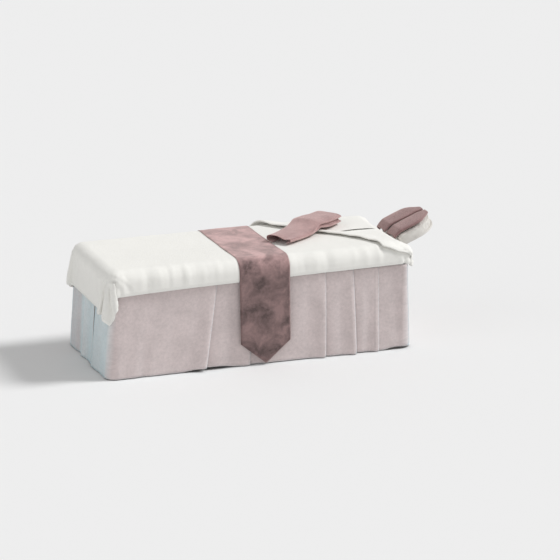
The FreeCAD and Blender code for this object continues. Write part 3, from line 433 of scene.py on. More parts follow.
def skirt_way(side, slit, back, level):
    """The skirt's line at a height: from the foot slit round the foot corner, along the side, round the head
    corner and back behind it. It returns each stretch's length and a way to look up a place on the line."""
    fall = 1.0 - level / skirt_top
    half_length, half_width = skirt_half_length + 0.030 * fall, skirt_half_width + 0.017 * fall
    corner = skirt_corner + 0.032 * fall
    slit = slit + 0.006 * fall
    foot, flank = half_width - corner - slit, 2 * (half_length - corner)
    lengths = (foot, corner * math.pi / 2, flank, corner * math.pi / 2, back)

    def spot(share):
        stretch = min(int(share), 4)
        part = share - stretch
        if stretch == 0:
            return (-half_length, side * (slit + part * foot)), (-1.0, 0.0)
        if stretch == 2:
            return (-half_length + corner + part * flank, side * half_width), (0.0, side)
        if stretch == 4:
            return (half_length, side * (half_width - corner - part * back)), (1.0, 0.0)
        turn = math.pi / 2 * (part - 1 if stretch == 1 else part)
        out = (math.sin(turn), side * math.cos(turn))
        hub = (half_length - corner) * (-1 if stretch == 1 else 1)
        return (hub + corner * out[0], side * (half_width - corner) + corner * out[1]), out

    return lengths, spot


def skirt_length(name, side, slit, pleats, lifts, seed):
    """One long velvet length. A pleat is its place, its shift at the floor and its depth, and a lift is the
    middle, half width and height of a stretch whose hem hangs clear of the floor."""
    lengths, _ = skirt_way(side, slit, skirt_return, skirt_top)
    breaks = np.concatenate(([0.0], np.cumsum(lengths)))
    stations, reached = [], 0.0
    places = [0.0] + [place for place, _, _ in pleats] + [breaks[-1]]
    for order, (place, _, depth) in enumerate(pleats):
        before = min(1.0, 0.5 * (place - places[order]) / 0.120)
        after = min(1.0, 0.45 * (places[order + 2] - place) / 0.135)
        stations += [(spot, 0.0, 0.0) for spot in np.arange(reached, place - 0.118 * before, 0.012)]
        for along, out in knife_pleat:
            room = after if along > 0.02 else before if along < -0.02 else 1.0
            stations.append((place, along * room, out * depth))
        reached = place + 0.134 * after
    stations += [(spot, 0.0, 0.0) for spot in np.linspace(reached, breaks[-1], 60)]
    shifts = [0.0] + [shift for _, shift, _ in pleats] + [0.0]
    levels = 36
    points, flat = [], []
    run, last = 0.0, None
    for place, along, out in stations:
        top = place + along
        if last:
            run += math.hypot(top - last[0], out - last[1])
        last = (top, out)
        lift = sum(height * math.exp(-((top - middle) / half) ** 4) for middle, half, height in lifts)
        bottom = skirt_hem + lift + 0.0015 * (1 + drift(top * 14.0, seed, 5.0))
        for level in np.linspace(bottom, skirt_top, levels):
            fall = 1.0 - level / skirt_top
            _, spot = skirt_way(side, slit, skirt_return, level)
            shifted = top + float(np.interp(top if abs(along) > 0.02 else place, places, shifts)) * fall
            (x, y), (out_x, out_y) = spot(min(max(float(np.interp(shifted, breaks, range(6))), 0.0), 4.9999))
            free = 1.0 - 0.8 * math.exp(-((top - side_start - 0.015) / 0.20) ** 4)
            sway = free * fall * (0.009 + 0.015 * drift(top * 4.5, seed, level * 1.2))
            sway += 0.0045 * (0.15 + fall) * drift(top * 12.0, seed + 4.0, level * 2.5)
            sway += 0.028 * (1 - 0.8 * fall) * math.exp(-((top - breaks[3] - 0.01) / 0.035) ** 2)
            proud = out * (0.25 + 0.75 * fall) + sway + 0.003 * fall
            points.append((bed_middle + x + out_x * proud, y + out_y * proud, level))
            flat.append((run, level))
    faces = grid(len(stations), levels)
    if side < 0:
        faces = [tuple(reversed(face)) for face in faces]
    piece = cloth_piece(name, points, faces, flat, skirt_thick, skirt_velvet)
    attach(piece, "bed")
    return piece


near_skirt = skirt_length("skirt_near_length", -1, near_slit,
                          [(side_start - 0.285, -0.090, 0.024), (side_start - 0.05, -0.04, 0.013),
                           (side_start + 0.41, -0.01, 0.021), (side_start + 0.590, 0.012, 0.023),
                           (side_start + 0.757, -0.006, 0.012)],
                          [(side_start - 0.27, 0.12, 0.014), (side_start + 0.885, 0.06, 0.012)], 1.7)
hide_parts("skirt_near", "skirt_foot_near")
far_start = side_start + 0.18
far_skirt = skirt_length("skirt_far_length", 1, far_slit,
                         [(0.20, 0.02, 0.012), (far_start - 0.62, 0.01, 0.014),
                          (far_start - 0.1, -0.02, 0.012), (far_start + 0.35, 0.02, 0.013),
                          (far_start + 0.7, -0.01, 0.010)],
                         [(side_start + 0.4, 0.2, 0.008)], 8.3)
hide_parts("skirt_far", "skirt_foot_far")

# The head panel hangs behind the two lengths' ends. Each rod passes through a notch cut down from its top.
rod_low, rod_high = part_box("headrest_rod_near")
rod_middle = (rod_low.y + rod_high.y) / 2
notch_low, notch_half = 0.4875, 0.0125
panel_half, panel_x, panel_start = 0.375, 0.9355, 0.75
panel_across = sorted(set(np.round(np.concatenate((
    np.linspace(-panel_half, panel_half, 76),
    [sign * (rod_middle + half) for sign in (-1, 1) for half in (-notch_half, notch_half)])), 5)))
panel_levels = sorted(set(np.round(np.concatenate((
    np.linspace(skirt_hem, skirt_top, 34), [notch_low])), 5)))
panel_points, panel_flat = [], []
for across in panel_across:
    for level in panel_levels:
        fall = 1.0 - level / skirt_top
        sway = 0.010 * fall * drift(across * 7.0, 31.0, level) + 0.004 * fall
        edge = 0.006 * math.exp(-((abs(across) - panel_half) / 0.03) ** 2)
        panel_points.append((bed_middle + panel_x + 0.026 * fall + sway - edge, across, level))
        panel_flat.append((across + panel_start, level))
panel_faces = []
for face in grid(len(panel_across), len(panel_levels)):
    across, level = (np.mean([panel_points[index][axis] for index in face]) for axis in (1, 2))
    if abs(abs(across) - abs(rod_middle)) >= notch_half or level <= notch_low:
        panel_faces.append(tuple(reversed(face)))
used = sorted({index for face in panel_faces for index in face})
renumber = {index: rank for rank, index in enumerate(used)}
head_panel = cloth_piece("skirt_head_panel", [panel_points[index] for index in used],
                         [tuple(renumber[index] for index in face) for face in panel_faces],
                         [panel_flat[index] for index in used], skirt_thick, skirt_velvet)
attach(head_panel, "bed")
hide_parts("skirt_head")

# ---- Duvet ----
# A thin cotton-linen duvet with a stitched hem, laid flat over the mattress. It hangs a little at the sides
# and head and deeper at the foot, where its corners fall in folds, and a slit over the face hole is parted.
duvet_foot, duvet_head, duvet_half, duvet_thick = -1.1850, 1.030, 0.512, 0.014
slit_middle, slit_half, slit_gap = 0.7835, 0.1130, 0.014


def linen(name, colour, warm, weave):
    """Plain-woven cloth: crossing threads, slubs in both directions, and slow creasing."""
    cloth = Finish(name, Specular_IOR_Level=0.2, Sheen_Weight=0.12, Sheen_Roughness=0.5)
    cut = cloth.place(uv=True)
    warp_yarn = cloth.node("ShaderNodeTexWave", {"wave_type": "BANDS", "bands_direction": "X"},
                           {"Vector": cut, "Scale": weave, "Distortion": 1.2, "Detail": 1.0})
    weft_yarn = cloth.node("ShaderNodeTexWave", {"wave_type": "BANDS", "bands_direction": "Y"},
                           {"Vector": cut, "Scale": weave, "Distortion": 1.2, "Detail": 1.0})
    warp_slub = cloth.noise(cloth.place(scale=(1, 0.05, 1), uv=True), 260.0, 2.0)
    weft_slub = cloth.noise(cloth.place(scale=(0.05, 1, 1), uv=True), 260.0, 2.0)
    crease = cloth.noise(cut, 16.0, 4.0, 0.6, 0.8)
    tone = cloth.noise(cut, 2.5, 3.0)
    yarns = warp_yarn * weft_yarn * 0.6 + warp_slub * 0.2 + weft_slub * 0.2
    colouring = cloth.ramp(tone * 0.6 + yarns * 0.4, [(0.2, warm), (0.55, colour)])
    relief = cloth.relief(yarns, 0.00035, cloth.relief(crease, 0.0012))
    return cloth.done(Base_Color=colouring, Roughness=warp_slub * 0.15 + 0.72, Normal=relief)


def finer(points):
    """Twice as many points along both ways of a grid of points, on a smooth curve through the old ones."""
    for way in (0, 1):
        points = np.swapaxes(points, 0, way)
        before = np.concatenate((2 * points[:1] - points[1:2], points, 2 * points[-1:] - points[-2:-1]))
        middle = (9 * (before[1:-2] + before[2:-1]) - before[:-3] - before[3:]) / 16
        doubled = np.empty((2 * len(points) - 1,) + points.shape[1:])
        doubled[::2], doubled[1::2] = points, middle
        points = np.swapaxes(doubled, 0, way)
    return points


def bed_form():
    """The bedding's firm shape under the duvet: mattress and rails, widening below with the skirt's flare."""
    foot_end, head_end, half_width, top, edge = -0.956, 0.959, 0.401, 0.648, 0.066
    shelves = [(0.0, -0.988, 0.975, 0.414), (0.30, -0.972, 0.966, 0.406),
               (0.52, -0.958, head_end, half_width)]
    for step in range(9):
        turn = math.radians(90 * step / 8)
        inset = edge * (1 - math.cos(turn))
        shelves.append((top - edge * (1 - math.sin(turn)), foot_end + inset, head_end - inset,
                        half_width - inset))
    rings, around = [], 48
    for level, foot, head, half in shelves:
        corner = max(0.015, 0.075 - max(0.0, half_width - half))
        middle, reach = (foot + head) / 2, (head - foot) / 2
        ring = []
        for k in range(around):
            angle = 2 * math.pi * (k + 0.5) / around
            cos, sin = math.cos(angle), math.sin(angle)
            ring.append((bed_middle + middle + math.copysign(reach - corner, cos) + corner * cos,
                         math.copysign(half - corner, sin) + corner * sin, level))
        rings.append(ring)
    points = [point for ring in rings for point in ring]
    faces = [(r * around + k, r * around + (k + 1) % around, (r + 1) * around + (k + 1) % around,
              (r + 1) * around + k) for r in range(len(rings) - 1) for k in range(around)]
    faces.append(tuple((len(rings) - 1) * around + k for k in range(around)))
    faces.append(tuple(reversed(range(around))))
    mesh = bpy.data.meshes.new("bed_form")
    mesh.from_pydata(points, [], faces)
    form = bpy.data.objects.new("bed_form", mesh)
    scene.collection.objects.link(form)
    return form


def draped(alongs, acrosses, rest, frames):
    """The places of a flat sheet's grid of points after it has fallen over the bed's form."""
    from_foot = np.asarray(alongs) - alongs[0]
    askew = 0.026 * from_foot / from_foot[-1] - 0.016 * np.exp(-(from_foot / 0.42) ** 2)
    start = np.array([[(bed_middle + a, b + aside * max(0.0, -b) / acrosses[-1], rest) for b in acrosses]
                      for a, aside in zip(alongs, askew)])
    mesh = bpy.data.meshes.new("falling_sheet")
    mesh.from_pydata(start.reshape(-1, 3).tolist(), [], grid(len(alongs), len(acrosses)))
    sheet = bpy.data.objects.new("falling_sheet", mesh)
    scene.collection.objects.link(sheet)
    held = sheet.vertex_groups.new(name="held")
    resting = [row * len(acrosses) + column for row, a in enumerate(alongs)
               for column, b in enumerate(acrosses) if abs(b) < 0.30 and -0.84 < a < 0.86]
    held.add(resting, 1.0, "REPLACE")
    form = bed_form()
    form.modifiers.new("bump", "COLLISION")
    form.collision.thickness_outer = 0.001
    form.collision.cloth_friction = 12.0
    cloth = sheet.modifiers.new("cloth", "CLOTH")
    cloth.settings.quality = 7
    cloth.settings.mass = 0.35
    cloth.settings.tension_stiffness = cloth.settings.compression_stiffness = 30.0
    cloth.settings.shear_stiffness = 3.0
    cloth.settings.bending_stiffness = 0.25
    cloth.settings.air_damping = 2.0
    cloth.settings.vertex_group_mass = "held"
    cloth.collision_settings.distance_min = 0.004
    cloth.collision_settings.use_self_collision = False
    for step in range(1, frames + 1):
        scene.frame_set(step)
    fallen = sheet.evaluated_get(bpy.context.evaluated_depsgraph_get()).to_mesh()
    places = np.empty(len(fallen.vertices) * 3)
    fallen.vertices.foreach_get("co", places)
    scene.frame_set(1)
    for leftover in (sheet, form):
        bpy.data.objects.remove(leftover)
    return places.reshape(len(alongs), len(acrosses), 3)


duvet_along = np.linspace(duvet_foot, duvet_head, 142)
duvet_across = np.linspace(-duvet_half, duvet_half, 65)
duvet_places = finer(draped(duvet_along, duvet_across, 0.6525, 60))
duvet_rows, duvet_columns = duvet_places.shape[:2]
duvet_a = np.linspace(duvet_foot, duvet_head, duvet_rows)
duvet_b = np.linspace(-duvet_half, duvet_half, duvet_columns)


def parted(a, b, gap):
    """How far a point beside the slit is drawn aside, and how far the slit's lip rises there."""
    lens = max(0.0, 1.0 - ((a - slit_middle) / slit_half) ** 2) ** 0.5
    return gap * lens * math.exp(-abs(b) / 0.035), 0.006 * lens * math.exp(-(b / 0.018) ** 2)


def slit_open(places, alongs, acrosses, gap):
    """Faces and points of a grid of cloth whose middle column is slit and parted over the face hole."""
    rows, columns = places.shape[:2]
    middle = columns // 2
    points = places.reshape(-1, 3).copy()
    flat = np.array([(alongs[r][c] if np.ndim(alongs[0]) else alongs[r], acrosses[c])
                     for r in range(rows) for c in range(columns)])
    extra, twin = [], {}
    for index, (a, b) in enumerate(flat):
        aside, lip = parted(a, b, gap)
        if index % columns == middle and aside > 0:
            twin[index] = len(points) + len(extra)
            extra.append(points[index] + (0.0, aside, lip))
            points[index] += (0.0, -aside, lip)
        elif aside > 0:
            points[index] += (0.0, math.copysign(aside, b), lip)
    faces = [tuple(twin.get(index, index) for index in face) if face[0] % columns >= middle else face
             for face in grid(rows, columns)]
    if extra:
        points = np.vstack((points, extra))
        flat = np.vstack((flat, flat[list(twin)]))
    return points, faces, flat


def outwards(places):
    """The outward directions of a grid of the duvet's points."""
    faces = [tuple(reversed(face)) for face in grid(*places.shape[:2])]
    return vertex_normals(places.reshape(-1, 3), faces).reshape(places.shape)


for row, a in enumerate(duvet_a):
    for column, b in enumerate(duvet_b):
        flatness = max(0.0, 1.0 - (abs(b) / 0.40) ** 6) * (abs(a) < 0.95)
        swell = drift(a * 5.0, b * 5.0, 3.0) * 0.0022 + drift(a * 14.0, b * 9.0, 9.0) * 0.0009
        duvet_places[row, column, 2] += swell * flatness
duvet_out = outwards(duvet_places)
for row, a in enumerate(duvet_a):
    for column, b in enumerate(duvet_b):
        hanging = math.exp(-((abs(b) - 0.43) / 0.075) ** 2) * (a > -1.0)
        at_foot = math.exp(-((a + 1.02) / 0.09) ** 2) * (abs(b) < 0.46)
        patch = 0.5 + 0.9 * drift(a * 2.6, b * 2.0, 14.0)
        side_fold = drift(a * 13.0, b * 2.6, 1.0) + 0.5 * drift(a * 27.0, b * 4.0, 5.0)
        foot_fold = drift(a * 2.5, b * 13.0, 1.0) + 0.4 * drift(a * 5.0, b * 27.0, 5.0)
        fold = 0.0150 * (hanging * side_fold + 0.7 * at_foot * foot_fold) * max(0.15, patch)
        duvet_places[row, column] += duvet_out[row, column] * fold
        x, y = duvet_places[row, column, 0] - bed_middle, duvet_places[row, column, 1]
        corner = min(1.0, max(0.0, (abs(y) - 0.20) / 0.16)) * min(1.0, max(0.0, (x - 0.87) / 0.085))
        duvet_places[row, column, 0] += 0.026 * corner * corner * (3 - 2 * corner)
        beyond = min(1.0, max(0.0, (x - 0.950) / 0.016))
        duvet_places[row, column, 2] += 0.5 * corner * beyond * max(0.0, 0.575 - duvet_places[row, column, 2])

flared = np.maximum(0.0, abs(duvet_places[..., 1]) - 0.425)
duvet_places[..., 1] -= np.sign(duvet_places[..., 1]) * flared * 0.4
duvet_ways = outwards(duvet_places)

duvet_points, duvet_faces, duvet_flat = slit_open(duvet_places, duvet_a, duvet_b, slit_gap)
duvet_faces = [tuple(reversed(face)) for face in duvet_faces]
white_linen = linen("white_linen", (0.905, 0.895, 0.855), (0.86, 0.85, 0.81), 210.0)
duvet_piece = cloth_piece("duvet_cloth", duvet_points, duvet_faces, duvet_flat, duvet_thick, white_linen,
                          0.30)
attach(duvet_piece, "bed")
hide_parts("duvet")

# ---- Top sheet ----
# A plain woven sheet over the head half of the duvet. Its edge is turned under on a slant from the far side
# down to the near head corner, and it has the same slit over the face hole.
sheet_thick = 0.0022
turned_edge = [(0.136, 0.507), (0.203, 0.43), (0.353, 0.218), (0.498, 0.048), (0.585, -0.031),
               (0.658, -0.114), (0.717, -0.199), (0.772, -0.315), (0.795, -0.395), (0.842, -0.415),
               (0.889, -0.434), (0.929, -0.450), (0.960, -0.463), (0.985, -0.472)]


def on_duvet(a, b, above):
    """The point over the place (a, b) of the duvet's cloth, above its middle by a distance."""
    row = (a - duvet_foot) / (duvet_head - duvet_foot) * (duvet_rows - 1)
    column = (b + duvet_half) / (2 * duvet_half) * (duvet_columns - 1)
    r = min(max(int(row), 0), duvet_rows - 2)
    c = min(max(int(column), 0), duvet_columns - 2)
    u, v = row - r, min(max(column - c, 0.0), 1.0)
    found = []
    for source in (duvet_places, duvet_ways):
        found.append((source[r, c] * (1 - v) + source[r, c + 1] * v) * (1 - u)
                     + (source[r + 1, c] * (1 - v) + source[r + 1, c + 1] * v) * u)
    return found[0] + found[1] / max(np.linalg.norm(found[1]), 1e-9) * above


edge_across = np.array([b for _, b in turned_edge][::-1])
edge_along = np.array([a for a, _ in turned_edge][::-1])
sheet_across = np.linspace(edge_across[0], edge_across[-1], 121)
sheet_across[np.argmin(abs(sheet_across))] = 0.0
sheet_head = 1.022
under_reach, under_steps, roll_steps, top_steps, curl = 0.065, 5, 8, 84, 0.0030
rows, row_alongs, sheet_clear = [], [], duvet_thick / 2 + sheet_thick
for b in sheet_across:
    edge = float(np.interp(b, edge_across, edge_along))
    edge += 0.004 * drift(b * 9.0, 4.0, 1.0)
    roll = float(np.interp(b, [-0.472, -0.42, -0.2, 0.1, 0.507], [0.0040, 0.0085, 0.0085, 0.0095, 0.0145]))
    roll *= 1 + 0.25 * drift(b * 13.0, 2.0, 6.0)
    length = sheet_head - edge
    wave_reach = min(0.16, length * 0.9)
    inner_rise = max(0.0, 2 * roll - 2 * curl)
    tucked = under_reach * min(1.0, length / 0.12)
    strip = [(edge + curl + tucked * share, inner_rise * (1 - share) ** 0.7)
             for share in np.linspace(1.0, 0.0, under_steps)]
    for step in range(1, roll_steps):
        turn = math.pi * step / roll_steps
        strip.append((edge + curl - curl * math.sin(turn), inner_rise + curl * (1 - math.cos(turn))))
    for share in np.linspace(0.0, 1.0, top_steps) ** 1.15:
        along = edge + curl + (length - curl) * share
        settle = min(1.0, (along - edge - curl) / wave_reach)
        strip.append((along, max(2 * roll, 2 * curl) * (1 - settle * settle * (3 - 2 * settle)) + 0.0004))
    column_points = []
    for index, (a, height) in enumerate(strip):
        loose = 0.0
        if index >= under_steps:
            ripple = max(0.0, drift(a * 11.0, b * 16.0, 12.0))
            near_corner = math.exp(-((b + 0.42) / 0.10) ** 2)
            flat_part = math.exp(-(abs(b) / 0.36) ** 6)
            loose = ripple * (0.010 * near_corner + 0.0018 * flat_part)
        column_points.append(on_duvet(a, b, sheet_clear + height + loose))
    rows.append(column_points)
    row_alongs.append([a for a, _ in strip])

sheet_places = np.array(rows)
strip_length = sheet_places.shape[1]
sheet_points = sheet_places.reshape(-1, 3).copy()
folded_steps = under_steps - 1 + roll_steps
sheet_flat = np.array([(a if index >= folded_steps else 2 * alongs[under_steps - 1] - a, b)
                       for alongs, b in zip(row_alongs, sheet_across) for index, a in enumerate(alongs)])
middle_row = int(np.argmin(abs(sheet_across)))
twins, added = {}, []
for index in range(len(sheet_points)):
    r, c = divmod(index, strip_length)
    a, b = row_alongs[r][c], sheet_across[r]
    if c < folded_steps:
        continue
    aside, lip = parted(a, b, slit_gap + 0.0005)
    if aside <= 0:
        continue
    if r == middle_row:
        twins[index] = len(sheet_points) + len(added)
        added.append(sheet_points[index] + (0.0, aside, lip))
        sheet_points[index] += (0.0, -aside, lip)
    else:
        sheet_points[index] += (0.0, math.copysign(aside, b), lip)
sheet_faces = [tuple(twins.get(index, index) for index in face) if face[0] >= middle_row * strip_length
               else face for face in grid(len(rows), strip_length)]
sheet_points = np.vstack((sheet_points, added))
sheet_flat = np.vstack((sheet_flat, sheet_flat[list(twins)]))
sheet_linen = linen("sheet_linen", (0.93, 0.92, 0.88), (0.89, 0.88, 0.84), 260.0)
sheet_piece = cloth_piece("top_sheet_cloth", sheet_points, sheet_faces, sheet_flat, sheet_thick, sheet_linen,
                          0.6)
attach(sheet_piece, "bed")
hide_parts("top_sheet")

# ---- Runner ----
# A band of crushed rose velvet across the bed, hemmed all round, whose two ends are cut to points. It lies
# on the duvet, turns down over both edges and hangs in front of the skirt to just above the floor.
runner_low, runner_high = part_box("bed_runner")
runner_thick, runner_shoulder, runner_tip = 0.003, 0.145, 0.012
# The runner's middle, out to 0.42 each way along the cut, lies on top of the bed and is painted paler there:
# a painted sheen.
rose_velvet = velvet("rose_velvet", (0.038, 0.023, 0.023), (0.250, 0.160, 0.156), (1.0, 0.76, 0.74), 1.0, 8.0,
                     0.72, sheen_rough=0.60, brushed=0.42, blur=0.11)


def tree_of(*objects):
    """A search tree over the surfaces of several pieces."""
    points, faces = [], []
    for thing in objects:
        start = len(points)
        points += [vertex.co.copy() for vertex in thing.data.vertices]
        faces += [tuple(start + index for index in polygon.vertices) for polygon in thing.data.polygons]
    return BVHTree.FromPolygons(points, faces)


underlay = tree_of(duvet_piece, near_skirt, far_skirt)
runner_x = np.linspace(runner_low.x, runner_high.x, 34)
runner_rows = []
for x in runner_x:
    from_middle = abs(x - (runner_low.x + runner_high.x) / 2) / ((runner_high.x - runner_low.x) / 2)
    end = runner_tip + (runner_shoulder - runner_tip) * from_middle
    line = []
    for side in (-1, 1):
        half = []
        for level in np.linspace(end, 0.56, 56):
            drop = max(0.0, 0.53 - level)
            half.append((side, 0.4165 + 0.020 * drop / 0.53, level))
        for turn in np.linspace(12, 78, 9):
            half.append((side, 0.3410 + 0.0755 * math.cos(math.radians(turn)),
                         0.5885 + 0.0755 * math.sin(math.radians(turn))))
        for across in np.linspace(0.340, 0.0, 34, endpoint=side > 0):
            half.append((side, across, 0.664))
        line.append(half)
    row = []
    for side, across, level in line[0] + line[1][::-1]:
        wander = 0.004 * drift(across * side * 5.0, 2.0, 7.0)
        row.append((x + wander * (0.3 if level < 0.56 else 1.0), side * across, level))
    runner_rows.append(row)
runner_steps = len(runner_rows[0])
runner_points = []
for row in runner_rows:
    for x, y, level in row:
        ripple = 0.0015 * drift(x * 12.0, y * 7.0, level * 7.0)
        if level > 0.663:
            hit = underlay.ray_cast(Vector((x, y, 1.0)), Vector((0, 0, -1)))[0]
            runner_points.append((x, y, (hit.z if hit else level) + 0.0026 + abs(ripple)))
            continue
        side = 1 if y > 0 else -1
        hub = Vector((x, side * 0.300, min(level, 0.600)))
        way = Vector((x, y, level)) - hub
        far = hub + way.normalized() * 0.30
        hit = underlay.ray_cast(far, (hub - far).normalized(), 0.30)[0]
        reach = way.length
        if hit is not None:
            reach = max((hit - hub).length + 0.0030, reach if level < 0.53 else 0.0)
        runner_points.append(tuple(hub + way.normalized() * (reach + abs(ripple))))
runner_places = np.array(runner_points).reshape(len(runner_rows), runner_steps, 3)
for _ in range(3):
    blurred = (runner_places[:, :-2] + runner_places[:, 2:]) / 2
    inner = runner_places[:, 1:-1]
    low = inner[..., 2] < 0.60
    outward = np.maximum(abs(blurred[..., 1]), abs(inner[..., 1])) * np.sign(inner[..., 1])
    inner[..., 1] = np.where(low, outward, inner[..., 1])
steps = np.linalg.norm(np.diff(runner_places, axis=1), axis=2)
runs = np.concatenate((np.zeros((len(runner_rows), 1)), np.cumsum(steps, axis=1)), axis=1)
runner_flat = np.array([(x, runs[r, c] - runs[r, runner_steps // 2]) for r, x in enumerate(runner_x)
                        for c in range(runner_steps)])
runner_faces = [tuple(reversed(face)) for face in grid(len(runner_rows), runner_steps)]
runner_piece = cloth_piece("bed_runner_velvet", runner_places.reshape(-1, 3), runner_faces, runner_flat,
                           runner_thick, rose_velvet, 0.5)
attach(runner_piece, "bed")
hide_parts("bed_runner")

# ---- Bed towel ----
# A soft rose towel folded lengthways into a flat roll and laid aslant on the turned sheet. Its foot end is an
# open mouth, and its plies stand thicker towards the head end.
towel_rose = velvet("towel_rose", (0.30, 0.172, 0.168), (0.52, 0.318, 0.308), (1.0, 0.78, 0.76), 1.0, 9.0,
                    0.45, nap=0.0014, sheen_rough=0.6, blur=0.115)


def towel_roll(name, stations, turns, cloth, material, mouth, seed):
    """A towel wound flat. Each station gives the middle of its underside, the directions across and up, how
    far it reaches to each side, its height and the depth of the crease between its plies. The inner plies are
    drawn back by mouth from the first station."""
    per_turn, drawn_rows = 44, 20
    columns = int(per_turn * turns)
    points, flat = [], []
    length, last = 0.0, None
    for order, (middle, across, up, left, right, height, crease) in enumerate(stations):
        middle, across, up = Vector(middle), Vector(across), Vector(up)
        if last is not None:
            length += (middle - last).length
        last = middle
        run = 0.0
        spot = None
        for column in range(columns + 1):
            wound = column / per_turn
            turn = 2 * math.pi * wound - 1.2
            cos, sin = math.cos(turn), math.sin(turn)
            layer = cloth * 1.25 * wound
            reach = (left if cos < 0 else right) - cloth / 2 - layer * 1.6
            rise = max(height / 2 - cloth / 2 - layer, cloth * 0.4)
            v = math.copysign(abs(cos) ** 0.75, cos) * reach
            w = height / 2 + math.copysign(abs(sin) ** 0.62, sin) * rise
            pinch = crease * math.exp(-((w - height * 0.50) / (height * 0.13)) ** 2)
            v += pinch * (cos < -0.5) * (wound < 1.0)
            soft = drift(length * 14.0, v * 12.0, seed + wound) * 0.0022
            soft += drift(length * 6.5, v * 6.0, seed) * 0.14 * height
            w += soft * max(0.0, sin) ** 0.5
            if mouth > 0.1:
                dip = math.exp(-(length / 0.07) ** 2) * math.exp(-((v / left + 0.45) / 0.35) ** 2)
                w -= 0.32 * height * dip * (sin > 0.3)
            place = middle + across * v + up * w
            if spot is not None:
                run += (place - spot).length
            spot = place
            points.append(place)
            flat.append((length, run))
    columns += 1
    points = np.array(points).reshape(len(stations), columns, 3)
    for column in range(columns):
        wound = column / per_turn
        draw = mouth * min(1.0, max(0.0, wound - 0.85) / 0.10)
        shift = points[6, column] - points[0, column]
        shift = shift / max(np.linalg.norm(shift), 1e-9) * draw
        for row in range(drawn_rows):
            points[row, column] += shift * (1 - row / drawn_rows)
    faces = [tuple(reversed(face)) for face in grid(len(stations), columns)]
    return cloth_piece(name, points.reshape(-1, 3), faces, np.array(flat), cloth, material, 0.7)


towel_tree = tree_of(duvet_piece, sheet_piece, runner_piece)
towel_turn = math.radians(38)
towel_way = Vector((math.cos(towel_turn), math.sin(towel_turn), 0))
towel_across = Vector((-math.sin(towel_turn), math.cos(towel_turn), 0))
towel_middle = Vector((bed_middle + 0.446, 0.060, 0))
towel_length, towel_rows = 0.600, 56
bases = []
for row in range(towel_rows):
    spot = towel_middle + towel_way * towel_length * (row / (towel_rows - 1) - 0.5)
    tops = [towel_tree.ray_cast(spot + towel_across * v + Vector((0, 0, 1)), Vector((0, 0, -1)))[0]
            for v in np.linspace(-0.11, 0.11, 9)]
    bases.append(max(hit.z for hit in tops if hit))
bases = np.array(bases)
for _ in range(60):
    padded_bases = np.concatenate((bases[:1], bases, bases[-1:]))
    bases = np.maximum(bases, (padded_bases[:-2] + 2 * bases + padded_bases[2:]) / 4)
stations = []
for row in range(towel_rows):
    share = row / (towel_rows - 1)
    middle = towel_middle + towel_way * towel_length * (share - 0.5)
    middle.z = bases[row] + 0.0015
    height = float(np.interp(share, [0, 0.25, 0.5, 0.8, 1.0], [0.050, 0.047, 0.054, 0.073, 0.068]))
    bulge = float(np.interp(share, [0, 0.1, 0.45, 0.75, 1.0], [0.090, 0.094, 0.108, 0.122, 0.108]))
    crease = float(np.interp(share, [0, 0.42, 0.55, 1.0], [0.0, 0.0, 0.030, 0.044]))
    stations.append((middle, towel_across, (0, 0, 1), bulge, bulge * 0.98, height, crease))
bed_towel = towel_roll("bed_towel_roll", stations, 1.62, 0.0038, towel_rose, 0.13, 21.0)
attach(bed_towel, "bed")
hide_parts("folded_towel")

# ---- Headrest cushion ----
# A half-round foam pad in white vinyl, crowned on top and drawn down beside the edge of its board, with a
# piped seam round its upper edge. The pad turns with the headrest about its pin.
headrest_tilt = math.radians(22)
tilt_along = Vector((math.cos(headrest_tilt), 0, math.sin(headrest_tilt)))
tilt_up = Vector((-math.sin(headrest_tilt), 0, math.cos(headrest_tilt)))
pivot = Vector((bed_middle + 1.015, 0, 0.556))


def on_headrest(s, y, n):
    """A place on the headrest: s out from its pin along the board, y across, and n up from the pin's line."""
    return pivot + tilt_along * s + tilt_up * n + Vector((0, y, 0))


def pad_outline(inset, near=0.008, far=0.288, half=0.170, corner=0.022):
    """The cushion's outline from above as (s, y) points, drawn in by an inset."""
    line = []
    near, far, half = near + inset, far - inset, half - inset
    hub = far - half
    for turn in np.linspace(0, 180, 61):
        line.append((hub + half * math.sin(math.radians(turn)), -half * math.cos(math.radians(turn))))
    for side in (1, -1):
        turns = np.linspace(0, 90, 7) if side > 0 else np.linspace(90, 0, 7)
        for turn in turns:
            line.append((near + corner - corner * math.sin(math.radians(turn)),
                         side * (half - corner + corner * math.cos(math.radians(turn)))))
    return line


def pad_mesh():
    """The pad's starting form, a little smaller than the finished cushion."""
    rings = [(0.0030, 0.0195), (0.0, 0.0250), (0.0, 0.0740), (0.004, 0.0810), (0.014, 0.0850)]
    mesh = bpy.data.meshes.new("cushion_form")
    points, around = [], len(pad_outline(0.0))
    for inset, n in rings:
        points += [on_headrest(s, y, n) for s, y in pad_outline(inset + 0.003)]
    faces = [(r * around + k, r * around + (k + 1) % around, (r + 1) * around + (k + 1) % around,
              (r + 1) * around + k) for r in range(len(rings) - 1) for k in range(around)]
    faces += [tuple((len(rings) - 1) * around + k for k in range(around)), tuple(reversed(range(around)))]
    mesh.from_pydata(points, [], faces)
    return mesh


